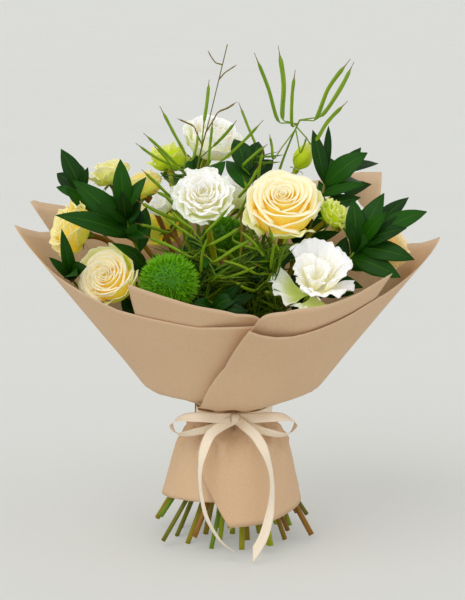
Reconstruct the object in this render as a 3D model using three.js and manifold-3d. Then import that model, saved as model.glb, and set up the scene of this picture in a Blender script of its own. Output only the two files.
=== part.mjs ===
// A spiral hand-tied bouquet of cream roses, white lisianthus, green dianthus, ruscus and brassica pods,
// wrapped in three sheets of kraft paper that a satin ribbon gathers at the tie. It stands on its cut stems.
// Millimetres, +Z up. The flowers face -Y, the front. The model is drawn round the tie's axis, and the last
// lines centre its box on the origin.
import * as THREE from "three";
import { mergeVertices } from "three/addons/utils/BufferGeometryUtils.js";
import Module from "manifold-3d";

const wasm = await Module();
wasm.setup();
const { Manifold } = wasm;

// ---------------------------------------------------------------- driving dimensions
const CLEAR = 0.3; // gap that separate pieces keep between them
const PETAL = 0.8; // thickness of petals and leaves
const PAPER = 0.8; // thickness of the wrapping sheets
const TIE_HEIGHT = 134; // height of the binding point
const SPLAY_HEIGHT = 190; // below this height every stem is straight
const SPLAY_LEAD = 30; // straight length that gives the bend above its direction
const STEM_RADIUS = 2.95;
const THIN_STEM = 2.2;
const STEM_SIDES = 6;
const SPRAY_SIDES = 5; // of the thinner stems under leaves and pods
const WIDE_BLOOM = 50; // blooms over this width stand on full stems, the others on side shoots
const SHOOT_RADIUS = 2.6;
const NECK = 26; // length below a bloom that is in line with it

// The stems pass the tie in rings round one centre stem. Each ring leans by its own spiral slope.
const RING_SLOPES = [0, 0.2, 0.42, 0.64];
const RING_RADII = [0, 8, 15, 22]; // before the tie presses them together
const PRESS_STEP = 0.05;
const OUTER_CUTS = [10, 22, 6, 16, 26]; // heights at which the outer stems are cut, in turn
const UNCUT = 30; // length below the floor before a stem is cut

const BUNDLE_RADIUS = 22.2; // round all the stems, pressed together at the tie
const WAIST_RADIUS = 31.5; // mean radius of the paper at the tie
const PLEAT_DEPTH = 4.5; // how far each pleat stands in and out of it
const PLEATS = 10; // pleats in a full turn
const LAYER_AT_TIE = 2.3; // distance between overlapping sheets at the tie
const CONE_START = 157; // height at which the sheets become a plain cone
const CONE_RADIUS = 88;
const CONE_SLOPE = 0.8; // widening of the cone at its front and sides
const BACK_SLOPE = 0.48; // and at its steeper back
const DEPTH_SHARE = 0.93; // the cone is this much shallower than it is wide

const RIBBON_WIDTH = 10;
const RIBBON_THICKNESS = 0.8;
const BAND_HEIGHT = 130.7; // the ribbon's band, under the place where the paper opens
const TWINE_TURNS = 2;

const CREAM = 0xf7e9a8;
const WHITE = 0xf5f2ea;
const PALE_GREEN = 0xc9dd6a;
const STEM_GREEN = 0x6d8f2f;
const DARK_GREEN = 0x1d4a1b;
const POD_GREEN = 0x7ba428;
const MOSS_GREEN = 0x4f9a1c;
const KRAFT = 0xc9a27a;
const IVORY = 0xf0dcc0;
const JUTE = 0xb08b55;

// Blooms: centre of the head, the way it faces in degrees (turn 0 is +X, -90 is the front; tilt is above the
// horizon), its width and the ring of stems that it belongs to.
const ROSES = [
  { name: "rose_1", centre: [48, -70, 347], turn: -90, tilt: 46, width: 75, ring: 1 },
  { name: "rose_2", centre: [-120, -51, 272], turn: -112, tilt: 28, width: 62, ring: 3 },
  { name: "rose_3", centre: [-160, -12, 316], turn: -164, tilt: 22, width: 56, ring: 3 },
  { name: "rose_4", centre: [-90, 6, 356], turn: 150, tilt: 58, width: 42, ring: 2 },
  { name: "rose_5", centre: [-124, 42, 366], turn: 150, tilt: 72, width: 42, ring: 2 },
  { name: "rose_6", centre: [155, 4, 300], turn: -8, tilt: 32, width: 56, ring: 3 },
  { name: "rose_7", centre: [66, 84, 318], turn: 62, tilt: 44, width: 66, ring: 2 },
  { name: "rose_8", centre: [-72, 92, 312], turn: 126, tilt: 38, width: 64, ring: 3 },
];
const LISIANTHUS = [
  { name: "lisianthus_1", centre: [-28, -62, 354], turn: -93, tilt: 36, width: 64, ring: 1, open: 1 },
  { name: "lisianthus_2", centre: [-21, 38, 398], turn: -60, tilt: 60, width: 60, ring: 0, open: 0.3 },
  { name: "lisianthus_3", centre: [79, -96, 278], turn: -75, tilt: 58, width: 72, ring: 3, open: 0.4 },
  { name: "lisianthus_4", centre: [-66, -26, 344], turn: -170, tilt: 48, width: 36, ring: 2, open: 0.5 },
  { name: "lisianthus_5", centre: [10, 70, 336], turn: 92, tilt: 62, width: 58, ring: 1, open: 0.8 },
  { name: "lisianthus_6", centre: [118, 72, 318], turn: 32, tilt: 40, width: 56, ring: 2, open: 0.9 },
];
const GREEN_BLOOMS = [
  { name: "green_bloom_1", centre: [-64, 36, 378], turn: 110, tilt: 66, width: 40, ring: 1, open: 0.2 },
  { name: "green_bloom_2", centre: [97, -48, 334], turn: -25, tilt: 42, width: 32, ring: 2, open: 0.5 },
];
const BUD = { name: "lisianthus_bud", centre: [70, 2, 386], turn: 10, tilt: 62, width: 24, ring: 1 };
const DIANTHUS = [
  { name: "dianthus_1", centre: [-60, -104, 277], turn: -110, tilt: 50, width: 58, ring: 3, detail: 2 },
  { name: "dianthus_2", centre: [-8, 108, 288], turn: 92, tilt: 45, width: 52, ring: 3, detail: 1 },
];

// Leafy stems: points that the stem passes above the splay height, and leaves as [share of the stem, tip,
// width].
const RUSCUS = [
  {
    name: "ruscus_left", ring: 3, via: [[-74, -30, 262], [-100, -44, 318], [-106, -46, 340]],
    leaves: [[0.6, [-153, -54, 369], 26], [0.92, [-108, -52, 388], 19], [0.62, [-165, -82, 340], 21],
      [0.75, [-128, -84, 350], 11], [0.66, [-80, -84, 319], 19], [0.85, [-92, -34, 362], 18],
      [0.42, [-112, -84, 312], 14]],
  },
  {
    name: "ruscus_left_back", ring: 3, via: [[-98, -2, 262], [-143, 12, 334], [-151, 12, 352]],
    leaves: [[0.9, [-170, 14, 392], 20], [0.8, [-176, 18, 354], 11], [0.95, [-144, 6, 374], 9],
      [0.6, [-104, 30, 322], 16]],
  },
  {
    name: "ruscus_left_low", ring: 3, via: [[-102, -18, 226], [-148, -26, 256], [-160, -42, 274]],
    leaves: [[0.9, [-163, -74, 322], 13], [0.85, [-178, -44, 292], 10], [0.6, [-130, -6, 288], 14]],
  },
  {
    name: "ruscus_right_top", ring: 3, via: [[66, -12, 290], [88, -18, 350], [93, -8, 374]],
    leaves: [[0.8, [79, -10, 413], 15], [0.95, [95, 8, 416], 8], [0.78, [130, -30, 393], 24],
      [0.9, [147, 20, 379], 13], [0.72, [130, 22, 360], 20], [0.66, [128, -38, 364], 12]],
  },
  {
    name: "ruscus_right", ring: 3, via: [[74, -38, 250], [112, -58, 292], [130, -54, 314]],
    leaves: [[0.72, [146, -52, 356], 24], [0.9, [172, -30, 351], 18], [0.94, [189, -40, 338], 20],
      [0.88, [164, -84, 327], 18], [0.78, [112, -88, 331], 13], [0.84, [172, -88, 298], 21],
      [0.7, [160, -88, 280], 21]],
  },
  {
    name: "ruscus_front", ring: 2, via: [[-8, -62, 232], [-16, -104, 250], [-22, -112, 254]],
    leaves: [[0.86, [-36, -132, 262], 15], [0.9, [6, -124, 268], 17], [0.94, [14, -130, 254], 15],
      [0.7, [22, -104, 266], 12]],
  },
  {
    name: "ruscus_back_right", ring: 3, via: [[74, 62, 262], [104, 108, 318], [112, 116, 348]],
    leaves: [[0.6, [126, 112, 310], 16], [0.7, [84, 122, 336], 18], [0.8, [150, 92, 346], 19],
      [0.9, [102, 130, 372], 17], [0.98, [132, 104, 384], 18]],
  },
  {
    name: "ruscus_back_left", ring: 3, via: [[-36, 66, 262], [-34, 116, 318], [-34, 126, 346]],
    leaves: [[0.6, [-4, 132, 328], 17], [0.8, [-76, 132, 356], 18], [0.84, [-8, 134, 368], 17],
      [0.92, [-62, 138, 382], 18], [1, [-34, 136, 394], 16]],
  },
];

// Pod stems: points that the stem passes, and pods as [share of the stem, foot of the pod, its tip].
const PODS = [
  {
    name: "pods_right_top", ring: 2, via: [[32, -22, 318], [47, -10, 376], [60, -10, 410], [66, -10, 423]],
    pods: [[0.92, [46, -15, 421], [21, -25, 489]], [0.9, [50, 0, 422], [45, 15, 494]],
      [0.94, [59, -9, 416], [61, -15, 472]], [0.99, [80, -15, 423], [114, -25, 483]],
      [1, [86, 0, 425], [120, 15, 478]], [0.86, [78, -10, 399], [112, -20, 442]],
      [0.8, [40, -22, 386], [36, -26, 410]], [0.82, [66, -22, 392], [72, -26, 408]]],
  },
  {
    name: "pods_left_top", ring: 1, via: [[-34, -16, 320], [-35, -4, 371], [-22, -2, 426], [-5, -2, 496]],
    pods: [[0.6, [-28, -5, 420], [-23, 8, 461]], [0.45, [-25, -20, 377], [-19, -25, 425]],
      [0.56, [-19, -12, 397], [4, -30, 424]], [0.5, [-12, -20, 383], [30, -35, 425]],
      [0.62, [-38, -6, 416], [-54, -8, 424]], [0.68, [-14, -6, 430], [4, -6, 440]],
      [0.93, [-16, -4, 478], [-24, -4, 490]], [0.88, [-8, -3, 468], [4, -4, 476]]],
  },
  {
    name: "pods_left", ring: 2, via: [[-44, -40, 318], [-48, -26, 366], [-46, -20, 386]],
    pods: [[0.9, [-46, -14, 388], [-71, -17, 437]], [0.86, [-54, -30, 381], [-86, -42, 413]],
      [0.8, [-60, -24, 380], [-94, -30, 402]], [0.82, [-56, -36, 376], [-75, -58, 402]],
      [0.7, [-58, -50, 352], [-86, -82, 382]], [0.66, [-54, -56, 344], [-74, -84, 362]],
      [0.6, [-50, -54, 330], [-92, -74, 352]], [0.5, [-60, -52, 318], [-92, -78, 330]],
      [0.95, [-40, -16, 384], [-34, -2, 412]]],
  },
  {
    name: "pods_centre", ring: 2, via: [[10, -42, 300], [16, -26, 352], [18, -14, 376]],
    pods: [[0.96, [24, 4, 392], [6, 18, 438]], [0.9, [10, -24, 378], [34, -38, 402]],
      [0.8, [24, -30, 362], [30, -40, 398]], [0.74, [6, -40, 350], [26, -48, 384]],
      [0.66, [4, -48, 330], [20, -60, 366]], [0.6, [26, -40, 334], [10, -44, 372]],
      [0.5, [0, -58, 312], [34, -84, 304]], [0.42, [20, -60, 296], [14, -88, 330]],
      [0.36, [6, -66, 290], [-18, -92, 308]]],
  },
  {
    name: "pods_front_left", ring: 2, via: [[-20, -62, 262], [-28, -84, 300], [-30, -90, 318]],
    pods: [[0.9, [-36, -94, 318], [-66, -100, 340]], [0.82, [-22, -98, 312], [10, -108, 332]],
      [0.76, [-38, -96, 300], [-84, -104, 322]], [0.7, [-18, -98, 296], [22, -104, 320]],
      [0.62, [-30, -100, 286], [-22, -122, 326]], [0.56, [-12, -96, 280], [26, -114, 296]],
      [0.5, [-21, -92, 276], [-8, -128, 288]], [0.97, [-26, -92, 322], [-2, -104, 350]],
      [0.94, [-38, -90, 326], [-60, -92, 346]]],
  },
  {
    name: "pods_front_right", ring: 2, via: [[24, -62, 252], [36, -84, 280], [40, -90, 296]],
    pods: [[0.92, [32, -98, 298], [4, -112, 330]], [0.84, [38, -102, 290], [52, -122, 320]],
      [0.78, [24, -96, 284], [-14, -110, 300]], [0.7, [42, -98, 276], [52, -126, 288]],
      [0.64, [22, -94, 268], [0, -122, 282]], [0.58, [38, -90, 264], [30, -128, 272]],
      [0.97, [44, -94, 304], [34, -112, 332]]],
  },
];

// ---------------------------------------------------------------- helpers
const rad = THREE.MathUtils.degToRad;
const vec = (p) => new THREE.Vector3(...p);
const mix = THREE.MathUtils.lerp;
const ease = THREE.MathUtils.smoothstep;

/** A seeded draw from 0 to 1: each call of the returned function gives the next number. */
function dice(seed) {
  let state = seed;
  return () => {
    state = (state * 1664525 + 1013904223) % 4294967296;
    return state / 4294967296;
  };
}

/** A closed three.js geometry as a manifold-3d solid. */
function solidOf(geometry) {
  const bare = geometry.clone();
  bare.deleteAttribute("normal");
  bare.deleteAttribute("uv");
  const merged = mergeVertices(bare, 1e-4);
  return new Manifold(new wasm.Mesh({
    numProp: 3,
    vertProperties: merged.attributes.position.array,
    triVerts: new Uint32Array(merged.index.array),
  }));
}

/** A manifold-3d solid as a three.js geometry. */
function geometryOf(solid) {
  const { numProp, vertProperties, triVerts } = solid.getMesh();
  const positions = new Float32Array((vertProperties.length / numProp) * 3);
  for (let i = 0; i < positions.length / 3; i++) {
    positions.set(vertProperties.subarray(i * numProp, i * numProp + 3), i * 3);
  }
  const geometry = new THREE.BufferGeometry();
  geometry.setAttribute("position", new THREE.BufferAttribute(positions, 3));
  geometry.setIndex(new THREE.BufferAttribute(new Uint32Array(triVerts), 1));
  geometry.computeVertexNormals();
  return geometry;
}

/** The unit normal of a surface(u, v), by small steps. */
function normalAt(surface, u, v) {
  const step = 1e-3;
  const across = surface(Math.min(u + step, 1), v).sub(surface(Math.max(u - step, 0), v));
  const along = surface(u, Math.min(v + step, 1)).sub(surface(u, Math.max(v - step, 0)));
  return across.cross(along).normalize();
}

/** A thin sheet along surface(u, v), with the same triangles on both faces. */
function blade(columns, rows, thickness, surface) {
  const grid = new THREE.PlaneGeometry(1, 1, columns, rows);
  const flat = grid.attributes.position;
  const count = flat.count;
  const positions = new Float32Array(count * 6);
  for (let i = 0; i < count; i++) {
    const u = flat.getX(i) + 0.5;
    const v = flat.getY(i) + 0.5;
    const offset = normalAt(surface, u, v).multiplyScalar(thickness / 2);
    surface(u, v).add(offset).toArray(positions, i * 3);
    surface(u, v).sub(offset).toArray(positions, (count + i) * 3);
  }
  const faces = [];
  for (let i = 0; i < grid.index.count; i += 3) {
    const [a, b, c] = [0, 1, 2].map((k) => grid.index.getX(i + k));
    faces.push(a, b, c, count + c, count + b, count + a);
  }
  const at = (column, row) => row * (columns + 1) + column;
  const rim = [];
  for (let i = 0; i < columns; i++) rim.push(at(i, rows));
  for (let i = rows; i > 0; i--) rim.push(at(columns, i));
  for (let i = columns; i > 0; i--) rim.push(at(i, 0));
  for (let i = 0; i < rows; i++) rim.push(at(0, i));
  rim.forEach((a, i) => {
    const b = rim[(i + 1) % rim.length];
    faces.push(a, count + a, count + b, a, count + b, b);
  });
  const sheet = new THREE.BufferGeometry();
  sheet.setAttribute("position", new THREE.BufferAttribute(positions, 3));
  sheet.setIndex(faces);
  return solidOf(sheet);
}

/** A round bar through the given points, with a radius at each. */
function bar(points, radii, sides) {
  const last = points.length - 1;
  const chord = points[last].clone().sub(points[0]).normalize();
  const guide = Math.abs(chord.x) < 0.7 ? new THREE.Vector3(1, 0, 0) : new THREE.Vector3(0, 1, 0);
  const geometry = new THREE.CylinderGeometry(1, 1, 1, sides, last);
  const places = geometry.attributes.position;
  for (let i = 0; i < places.count; i++) {
    const ring = Math.round((0.5 - places.getY(i)) * last);
    const heading = points[Math.min(ring + 1, last)].clone().sub(points[Math.max(ring - 1, 0)]).normalize();
    const across = guide.clone().addScaledVector(heading, -guide.dot(heading)).normalize();
    const other = heading.clone().cross(across);
    const point = points[ring].clone();
    point.addScaledVector(across, places.getX(i) * radii[ring]);
    point.addScaledVector(other, places.getZ(i) * radii[ring]);
    places.setXYZ(i, ...point.toArray());
  }
  return solidOf(geometry);
}

/** The largest of the bodies that a solid holds, so that loose scraps are dropped. */
function largestBody(solid) {
  return solid.decompose().reduce((a, b) => (b.volume() > a.volume() ? b : a));
}

/** A value read from [position, value] pairs in rising order, straight between them. */
function along(pairs, at) {
  const next = pairs.findIndex(([position]) => position >= at);
  if (next === 0) return pairs[0][1];
  if (next < 0) return pairs[pairs.length - 1][1];
  const [[from, low], [to, high]] = [pairs[next - 1], pairs[next]];
  return mix(low, high, (at - from) / (to - from));
}

/** Unit vector for a turn and a tilt in degrees. */
function facing({ turn, tilt }) {
  const level = Math.cos(rad(tilt));
  return new THREE.Vector3(level * Math.cos(rad(turn)), level * Math.sin(rad(turn)), Math.sin(rad(tilt)));
}

// ---------------------------------------------------------------- blooms, with their foot at the origin
/**
 * A head of petals in whorls, one inside the other. It is a turned body: at each whorl it rises to a lip and
 * falls into a groove on the inside. Where two petals meet, the lip is notched and drawn in, and each petal's
 * leading side stands out over the next one. Lengths are shares of half the width.
 */
function whorledHead(width, { cup, whorls, heart }, columns) {
  const r = width / 2;
  const stations = [[0, 0], ...cup].map((at) => ({ at }));
  for (const { lip, wall, groove, petals, start, notch } of whorls) {
    const edge = { petals, start, notch };
    stations.push({ at: lip, ...edge }, { at: [lip[0] - wall, lip[1] + wall / 3], ...edge }, { at: groove });
  }
  stations.push({ at: heart }, { at: [0, heart[1] - 0.12] });
  const outline = stations.map(({ at }) => new THREE.Vector2(at[0] * r, at[1] * r));
  const body = new THREE.LatheGeometry(outline, columns).rotateX(Math.PI / 2);
  const places = body.attributes.position;
  for (let i = 0; i < places.count; i++) {
    const { petals, start, notch } = stations[i % stations.length];
    if (!petals) continue;
    const step = columns / petals;
    const place = (Math.floor(i / stations.length) - start + columns) % step;
    const overlap = 1 + LEAN * (place ? 1 - (2 * (place - 1)) / (step - 2) : -2);
    const drop = place ? 0 : notch * r;
    places.setXYZ(i, places.getX(i) * overlap, places.getY(i) * overlap, places.getZ(i) - drop);
  }
  return solidOf(body);
}

const LEAN = 0.04; // how far a petal's two sides stand out of and behind its neighbours
const HEAD_COLUMNS = 15;
const ROSE_BASE = 0.62; // the foot lies this share of half the width behind the centre
const LISIANTHUS_BASE = 0.5;
const BUD_BASE = 0.7;
const CUP_RADIUS = 5.5; // the green cup under the widest rose
const DIANTHUS_CORE = 0.8; // the ball's core, under its spikes, as a share of half the width
const DIANTHUS_SEED = 7;

/** The shape of a head without its grooves and notches, which foliage keeps out of. */
function coverOf(width, { cup, whorls, heart }) {
  const lips = whorls.map(({ lip }) => lip);
  return whorledHead(width, { cup: [...cup, ...lips], whorls: [], heart }, HEAD_COLUMNS);
}

/** A garden rose: three whorls of petals round a furled heart. */
const ROSE_SHAPE = {
  cup: [[0.42, 0.06], [0.84, 0.36]],
  whorls: [
    { lip: [1, 0.9], wall: 0.07, groove: [0.74, 0.52], petals: 5, start: 0, notch: 0.26 },
    { lip: [0.74, 1.06], wall: 0.07, groove: [0.5, 0.72], petals: 5, start: 2, notch: 0.2 },
    { lip: [0.47, 1.15], wall: 0.07, groove: [0.28, 0.86], petals: 3, start: 1, notch: 0.16 },
  ],
  heart: [0.18, 1.16],
};

/** A double lisianthus, whose petals spread further the more it is open. */
function lisianthusShape(open) {
  const height = mix(1.35, 0.92, open);
  return {
    cup: [[0.38, 0.06], [mix(0.66, 0.8, open), 0.42]],
    whorls: [
      { lip: [mix(0.88, 1, open), height * mix(0.92, 0.78, open)], wall: 0.06, groove: [0.52, height * 0.46],
        petals: 5, start: 0, notch: 0.24 },
      { lip: [mix(0.52, 0.64, open), height * 0.96], wall: 0.06, groove: [0.28, height * 0.6],
        petals: 5, start: 2, notch: 0.2 },
    ],
    heart: [0.17, height * 0.88],
  };
}

/** A closed lisianthus bud: furled petals twisted into a point, raised as spiral ridges. */
function budHead(width) {
  const sides = 10;
  const rings = 6;
  const twist = 1.4;
  const ridge = 0.09;
  const profile = [[0, 0.24], [0.18, 0.72], [0.38, 1], [0.62, 0.82], [0.84, 0.42], [1, 0.12]];
  const length = width * 1.5;
  const geometry = new THREE.CylinderGeometry(1, 1, 1, sides, rings);
  const places = geometry.attributes.position;
  for (let i = 0; i < places.count; i++) {
    const share = 0.5 - places.getY(i);
    const angle = Math.atan2(places.getX(i), places.getZ(i)) + twist * share;
    const rib = 1 + ridge * Math.cos((angle - twist * share) * 5);
    const radius = Math.hypot(places.getX(i), places.getZ(i)) * along(profile, share) * (width / 2) * rib;
    places.setXYZ(i, -radius * Math.cos(angle), radius * Math.sin(angle), share * length);
  }
  return solidOf(geometry);
}

/** A dianthus head: a ball on which every small face is drawn out into a spike. */
function dianthusHead(width, detail) {
  const random = dice(DIANTHUS_SEED);
  const core = new THREE.IcosahedronGeometry((width / 2) * DIANTHUS_CORE, detail);
  const places = core.attributes.position;
  const corners = [];
  for (let i = 0; i < places.count; i += 3) {
    const [a, b, c] = [0, 1, 2].map((k) => new THREE.Vector3().fromBufferAttribute(places, i + k));
    const spike = a.clone().add(b).add(c).setLength((width / 2) * mix(0.9, 1, random()));
    for (const [p, q] of [[a, b], [b, c], [c, a]]) corners.push(...p, ...q, ...spike);
  }
  const ball = new THREE.BufferGeometry();
  ball.setAttribute("position", new THREE.BufferAttribute(new Float32Array(corners), 3));
  return solidOf(ball);
}

// ---------------------------------------------------------------- stems
/** Deals each ring's stems round it in the order of their blooms' azimuths, then presses them together. */
function dealSlots(plants) {
  const pressed = [];
  RING_SLOPES.forEach((slope, ring) => {
    const members = plants.filter((plant) => plant.ring === ring);
    members.sort((a, b) => a.heading - b.heading);
    const step = (2 * Math.PI) / members.length;
    const drift = members.reduce((sum, plant, i) => sum + plant.heading - i * step, 0) / members.length;
    const radius = RING_RADII[ring];
    const lag = Math.atan2(slope * (SPLAY_HEIGHT - TIE_HEIGHT), radius);
    members.forEach((plant, i) => {
      plant.slot = { angle: drift + i * step - lag, radius, slope, order: i, thickness: plant.stem };
      while (plant.slot.radius > 0) {
        const closer = { ...plant.slot, radius: plant.slot.radius - PRESS_STEP };
        if (pressed.some((other) => stemGap(closer, other) < CLEAR)) break;
        plant.slot = closer;
      }
      pressed.push(plant.slot);
    });
  });
}

/** The gap between the straight parts of two stems. */
function stemGap(one, other) {
  const [start, from] = [lowerPoint(one, 0), lowerPoint(other, 0)];
  const direction = lowerPoint(one, TIE_HEIGHT).sub(start);
  const normal = direction.cross(lowerPoint(other, TIE_HEIGHT).sub(from));
  return Math.abs(from.sub(start).dot(normal.normalize())) - one.thickness - other.thickness;
}

/** The point of a stem's straight lower part at a height. */
function lowerPoint({ angle, radius, slope }, height) {
  const sideways = slope * (height - TIE_HEIGHT);
  return new THREE.Vector3(
    radius * Math.cos(angle) - sideways * Math.sin(angle),
    radius * Math.sin(angle) + sideways * Math.cos(angle),
    height);
}

/** The points of a stem: a straight part from below the floor, then a soft bend through its upper points. */
function stemPoints(plant, upper, steps) {
  const heights = [-UNCUT, SPLAY_HEIGHT - SPLAY_LEAD, SPLAY_HEIGHT];
  const [low, high, turn] = heights.map((height) => lowerPoint(plant.slot, height));
  const bend = new THREE.CatmullRomCurve3([high, turn, ...upper], false, "centripetal");
  const start = 1 / (upper.length + 1);
  const bent = Array.from({ length: steps + 1 }, (_, i) => bend.getPoint(mix(start, 1, i / steps)));
  return [low, ...bent];
}

/** Cuts a stem level at the height of its own cut end. */
function trimmed(solid, plant) {
  const outer = plant.ring === RING_SLOPES.length - 1;
  const cut = outer ? OUTER_CUTS[plant.slot.order % OUTER_CUTS.length] : 0;
  const waste = new THREE.BoxGeometry(300, 300, 2 * UNCUT).translate(0, 0, cut - UNCUT);
  return solid.subtract(solidOf(waste));
}

/** The stem of a bloom, swelling to the cup that carries the petals. */
function bloomStem(plant, grow) {
  const direction = facing(plant);
  const top = footOf(plant).addScaledVector(direction, -plant.seat);
  const below = top.clone().addScaledVector(direction, -NECK);
  const points = stemPoints(plant, [below, top], 5);
  points.splice(-1, 0, top.clone().addScaledVector(direction, -plant.cup));
  const radii = points.map((_, i) => (i < points.length - 1 ? plant.stem : plant.cup) + grow);
  return trimmed(bar(points, radii, STEM_SIDES), plant);
}

/** The turn that points local Z the way a bloom faces. */
function turnOf(plant) {
  return new THREE.Quaternion().setFromUnitVectors(new THREE.Vector3(0, 0, 1), facing(plant));
}

/** The place of a bloom's foot. */
function footOf(plant) {
  return vec(plant.centre).addScaledVector(facing(plant), -plant.base);
}

// ---------------------------------------------------------------- foliage and pods
/** A pointed leaf from its foot to its tip, folded a little along the rib and arched. */
function leaf(foot, tip, width, grow) {
  const length = foot.distanceTo(tip);
  const axis = tip.clone().sub(foot).normalize();
  const up = new THREE.Vector3(-axis.x * 0.2, -1, 0.55);
  const across = axis.clone().cross(up).normalize();
  const out = across.clone().cross(axis).normalize();
  const widths = [[0, 0.1], [1 / 3, 0.94], [2 / 3, 0.86], [1, 0.05]];
  const fold = 0.22;
  const arch = 0.09;
  return blade(2, 3, PETAL + 2 * grow, (u, v) => {
    const side = (2 * u - 1) * (along(widths, v) * (width / 2) + grow);
    return foot.clone()
      .addScaledVector(axis, v * (length + grow))
      .addScaledVector(across, side)
      .addScaledVector(out, arch * length * Math.sin(Math.PI * v) + fold * Math.abs(side));
  });
}

/** The point of a bent stem at a share of its length above the splay height. */
function shareOf(points, share) {
  const at = Math.min(share, 0.995) * (points.length - 2);
  const below = Math.floor(at);
  return points[below + 1].clone().lerp(points[below + 2], at - below);
}

/** Radii of a thin stem that tapers towards its tip above the splay height. */
function taperedRadii(points, tip, grow) {
  return points.map((_, i) => mix(THIN_STEM, tip, Math.max(i - 1, 0) / (points.length - 2)) + grow);
}

/** A leafy stem in one solid. */
function ruscus(plant, grow) {
  const points = stemPoints(plant, plant.via.map(vec), 5);
  const stem = trimmed(bar(points, taperedRadii(points, 1, grow), SPRAY_SIDES), plant);
  return Manifold.union([stem, ...plant.leaves.map(([share, tip, width]) => (
    leaf(shareOf(points, share), vec(tip), width, grow)))]);
}

/** A slim pod on its thin stalk, drawn out into a beak. */
function pod(root, foot, tip, grow) {
  const swell = foot.clone().lerp(tip, 0.25);
  const neck = foot.clone().lerp(tip, 0.75);
  const radii = [0.7, 0.7, 1.8, 1.5, 0.45];
  return bar([root, foot, swell, neck, tip], radii.map((radius) => radius + grow), 3);
}

/** A stem with its pods in one solid. */
function podStem(plant, grow) {
  const points = stemPoints(plant, plant.via.map(vec), 6);
  const stem = trimmed(bar(points, taperedRadii(points, 0.8, grow), SPRAY_SIDES), plant);
  return Manifold.union([stem, ...plant.pods.map(([share, foot, tip]) => (
    pod(shareOf(points, share), vec(foot), vec(tip), grow)))]);
}

// ---------------------------------------------------------------- paper
// Rows of the sheets from the hem up: [radius, height, how much of the pleats shows, how far out and how far
// up the next layer lies]. The hem and the cone's upper rows get their place from the sheet's own outline.
const HEM_STEP = [2.8, 0];
const LOWER_ROWS = [[56, 98, 0.15, 2.5, 0.4], [WAIST_RADIUS, 125, 1, LAYER_AT_TIE, 0]];
const UPPER_ROWS = [[WAIST_RADIUS, 138, 1, LAYER_AT_TIE, -0.8], [55, 147, 0.5, 1.6, -2.2],
  [CONE_RADIUS, CONE_START, 0.1, 1.8, -2.4]];
const CONE_MIDDLE = 206; // height of the last row below the rim
const MIDDLE_STEP = [2.8, -3.2];
const RIM_STEP = [5, -4];
const WRAP_ROWS = LOWER_ROWS.length + UPPER_ROWS.length + 2;
const HEM_FLARE = 0.3; // widening of the skirt towards its hem
const HEM_FLARE_RIGHT = 0.22; // and on its right, where it hangs straighter

/** Widening of the skirt at an angle. */
function hemFlare(angle) {
  return mix(HEM_FLARE, HEM_FLARE_RIGHT, ease(Math.cos(rad(angle)), 0.2, 0.9));
}

/** Widening of the cone at an angle: steeper at the back. */
function coneSlope(angle) {
  return mix(CONE_SLOPE, BACK_SLOPE, ease(Math.sin(rad(angle)), 0.1, 0.9));
}

/** A point of the wrap at an angle, row by row from the hem at 0 to the rim at 1. */
function wrapPoint({ angle, share, hem, rim, layer }) {
  const coneRadius = (height) => CONE_RADIUS + coneSlope(angle) * (height - CONE_START);
  const rows = [
    [LOWER_ROWS[0][0] + (LOWER_ROWS[0][1] - hem) * hemFlare(angle), hem, 0, ...HEM_STEP],
    ...LOWER_ROWS,
    ...UPPER_ROWS,
    [coneRadius(CONE_MIDDLE), CONE_MIDDLE, 0, ...MIDDLE_STEP],
    [coneRadius(rim), rim, 0, ...RIM_STEP],
  ];
  const at = share * WRAP_ROWS;
  const below = Math.min(Math.floor(at), WRAP_ROWS - 1);
  const row = rows[below].map((value, i) => mix(value, rows[below + 1][i], at - below));
  const height = row[1] + layer * row[4];
  const reach = row[0] + layer * row[3] + row[2] * PLEAT_DEPTH * Math.cos(rad(angle) * PLEATS);
  const depth = mix(1, DEPTH_SHARE, ease(height, 140, 200));
  return new THREE.Vector3(reach * Math.cos(rad(angle)), depth * reach * Math.sin(rad(angle)), height);
}

const EDGE_ROWS = [0, 1, LOWER_ROWS.length + 2, WRAP_ROWS - 1, WRAP_ROWS];

/** Angle of a sheet's side edge, given at the hem, the tie, the cone's middle and the rim. */
function edgeAngle([hem, tie, middle, rim], share) {
  const angles = [hem, tie, tie, middle, rim];
  return along(EDGE_ROWS.map((row, i) => [row, angles[i]]), share * WRAP_ROWS);
}

// The layers folded back inside begin with the cone.
const FLAP_START = (LOWER_ROWS.length + UPPER_ROWS.length) / WRAP_ROWS;
const FLAP_COLUMNS = 6;
const FOLD_INSET = 1.2; // the folded layer meets the sheet this many degrees from its edge
const FOLD_LIP = 0.16; // and passes through it by this share of a layer

/** A wrapping sheet, and the layer folded back inside it where it has one. */
function paperSheet({ from, to, columns, hem, rim, layer, flap }, grow = 0) {
  const sheet = blade(columns, WRAP_ROWS, PAPER + 2 * grow, (u, v) => {
    const angle = mix(edgeAngle(from, v), edgeAngle(to, v), u);
    const outline = { hem: along(hem, angle), rim: along(rim, angle) };
    return wrapPoint({ angle, share: v, ...outline, layer: layer(angle) });
  });
  if (!flap) return sheet;
  const inward = flap.fromStart ? FOLD_INSET : -FOLD_INSET;
  const folded = blade(FLAP_COLUMNS, 2, PAPER + 2 * grow, (u, v) => {
    const share = mix(FLAP_START, 1, v);
    const start = edgeAngle(flap.fromStart ? from : to, share) + inward;
    const angle = mix(start, mix(flap.reach[0], flap.reach[1], v), u);
    const turned = ease(u * FLAP_COLUMNS, 0, 1);
    return wrapPoint({
      angle, share, hem: along(hem, angle), rim: mix(along(rim, angle), along(flap.rim, angle), turned),
      layer: layer(angle) + mix(FOLD_LIP, -1, turned),
    });
  });
  return Manifold.union([sheet, folded]);
}

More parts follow.
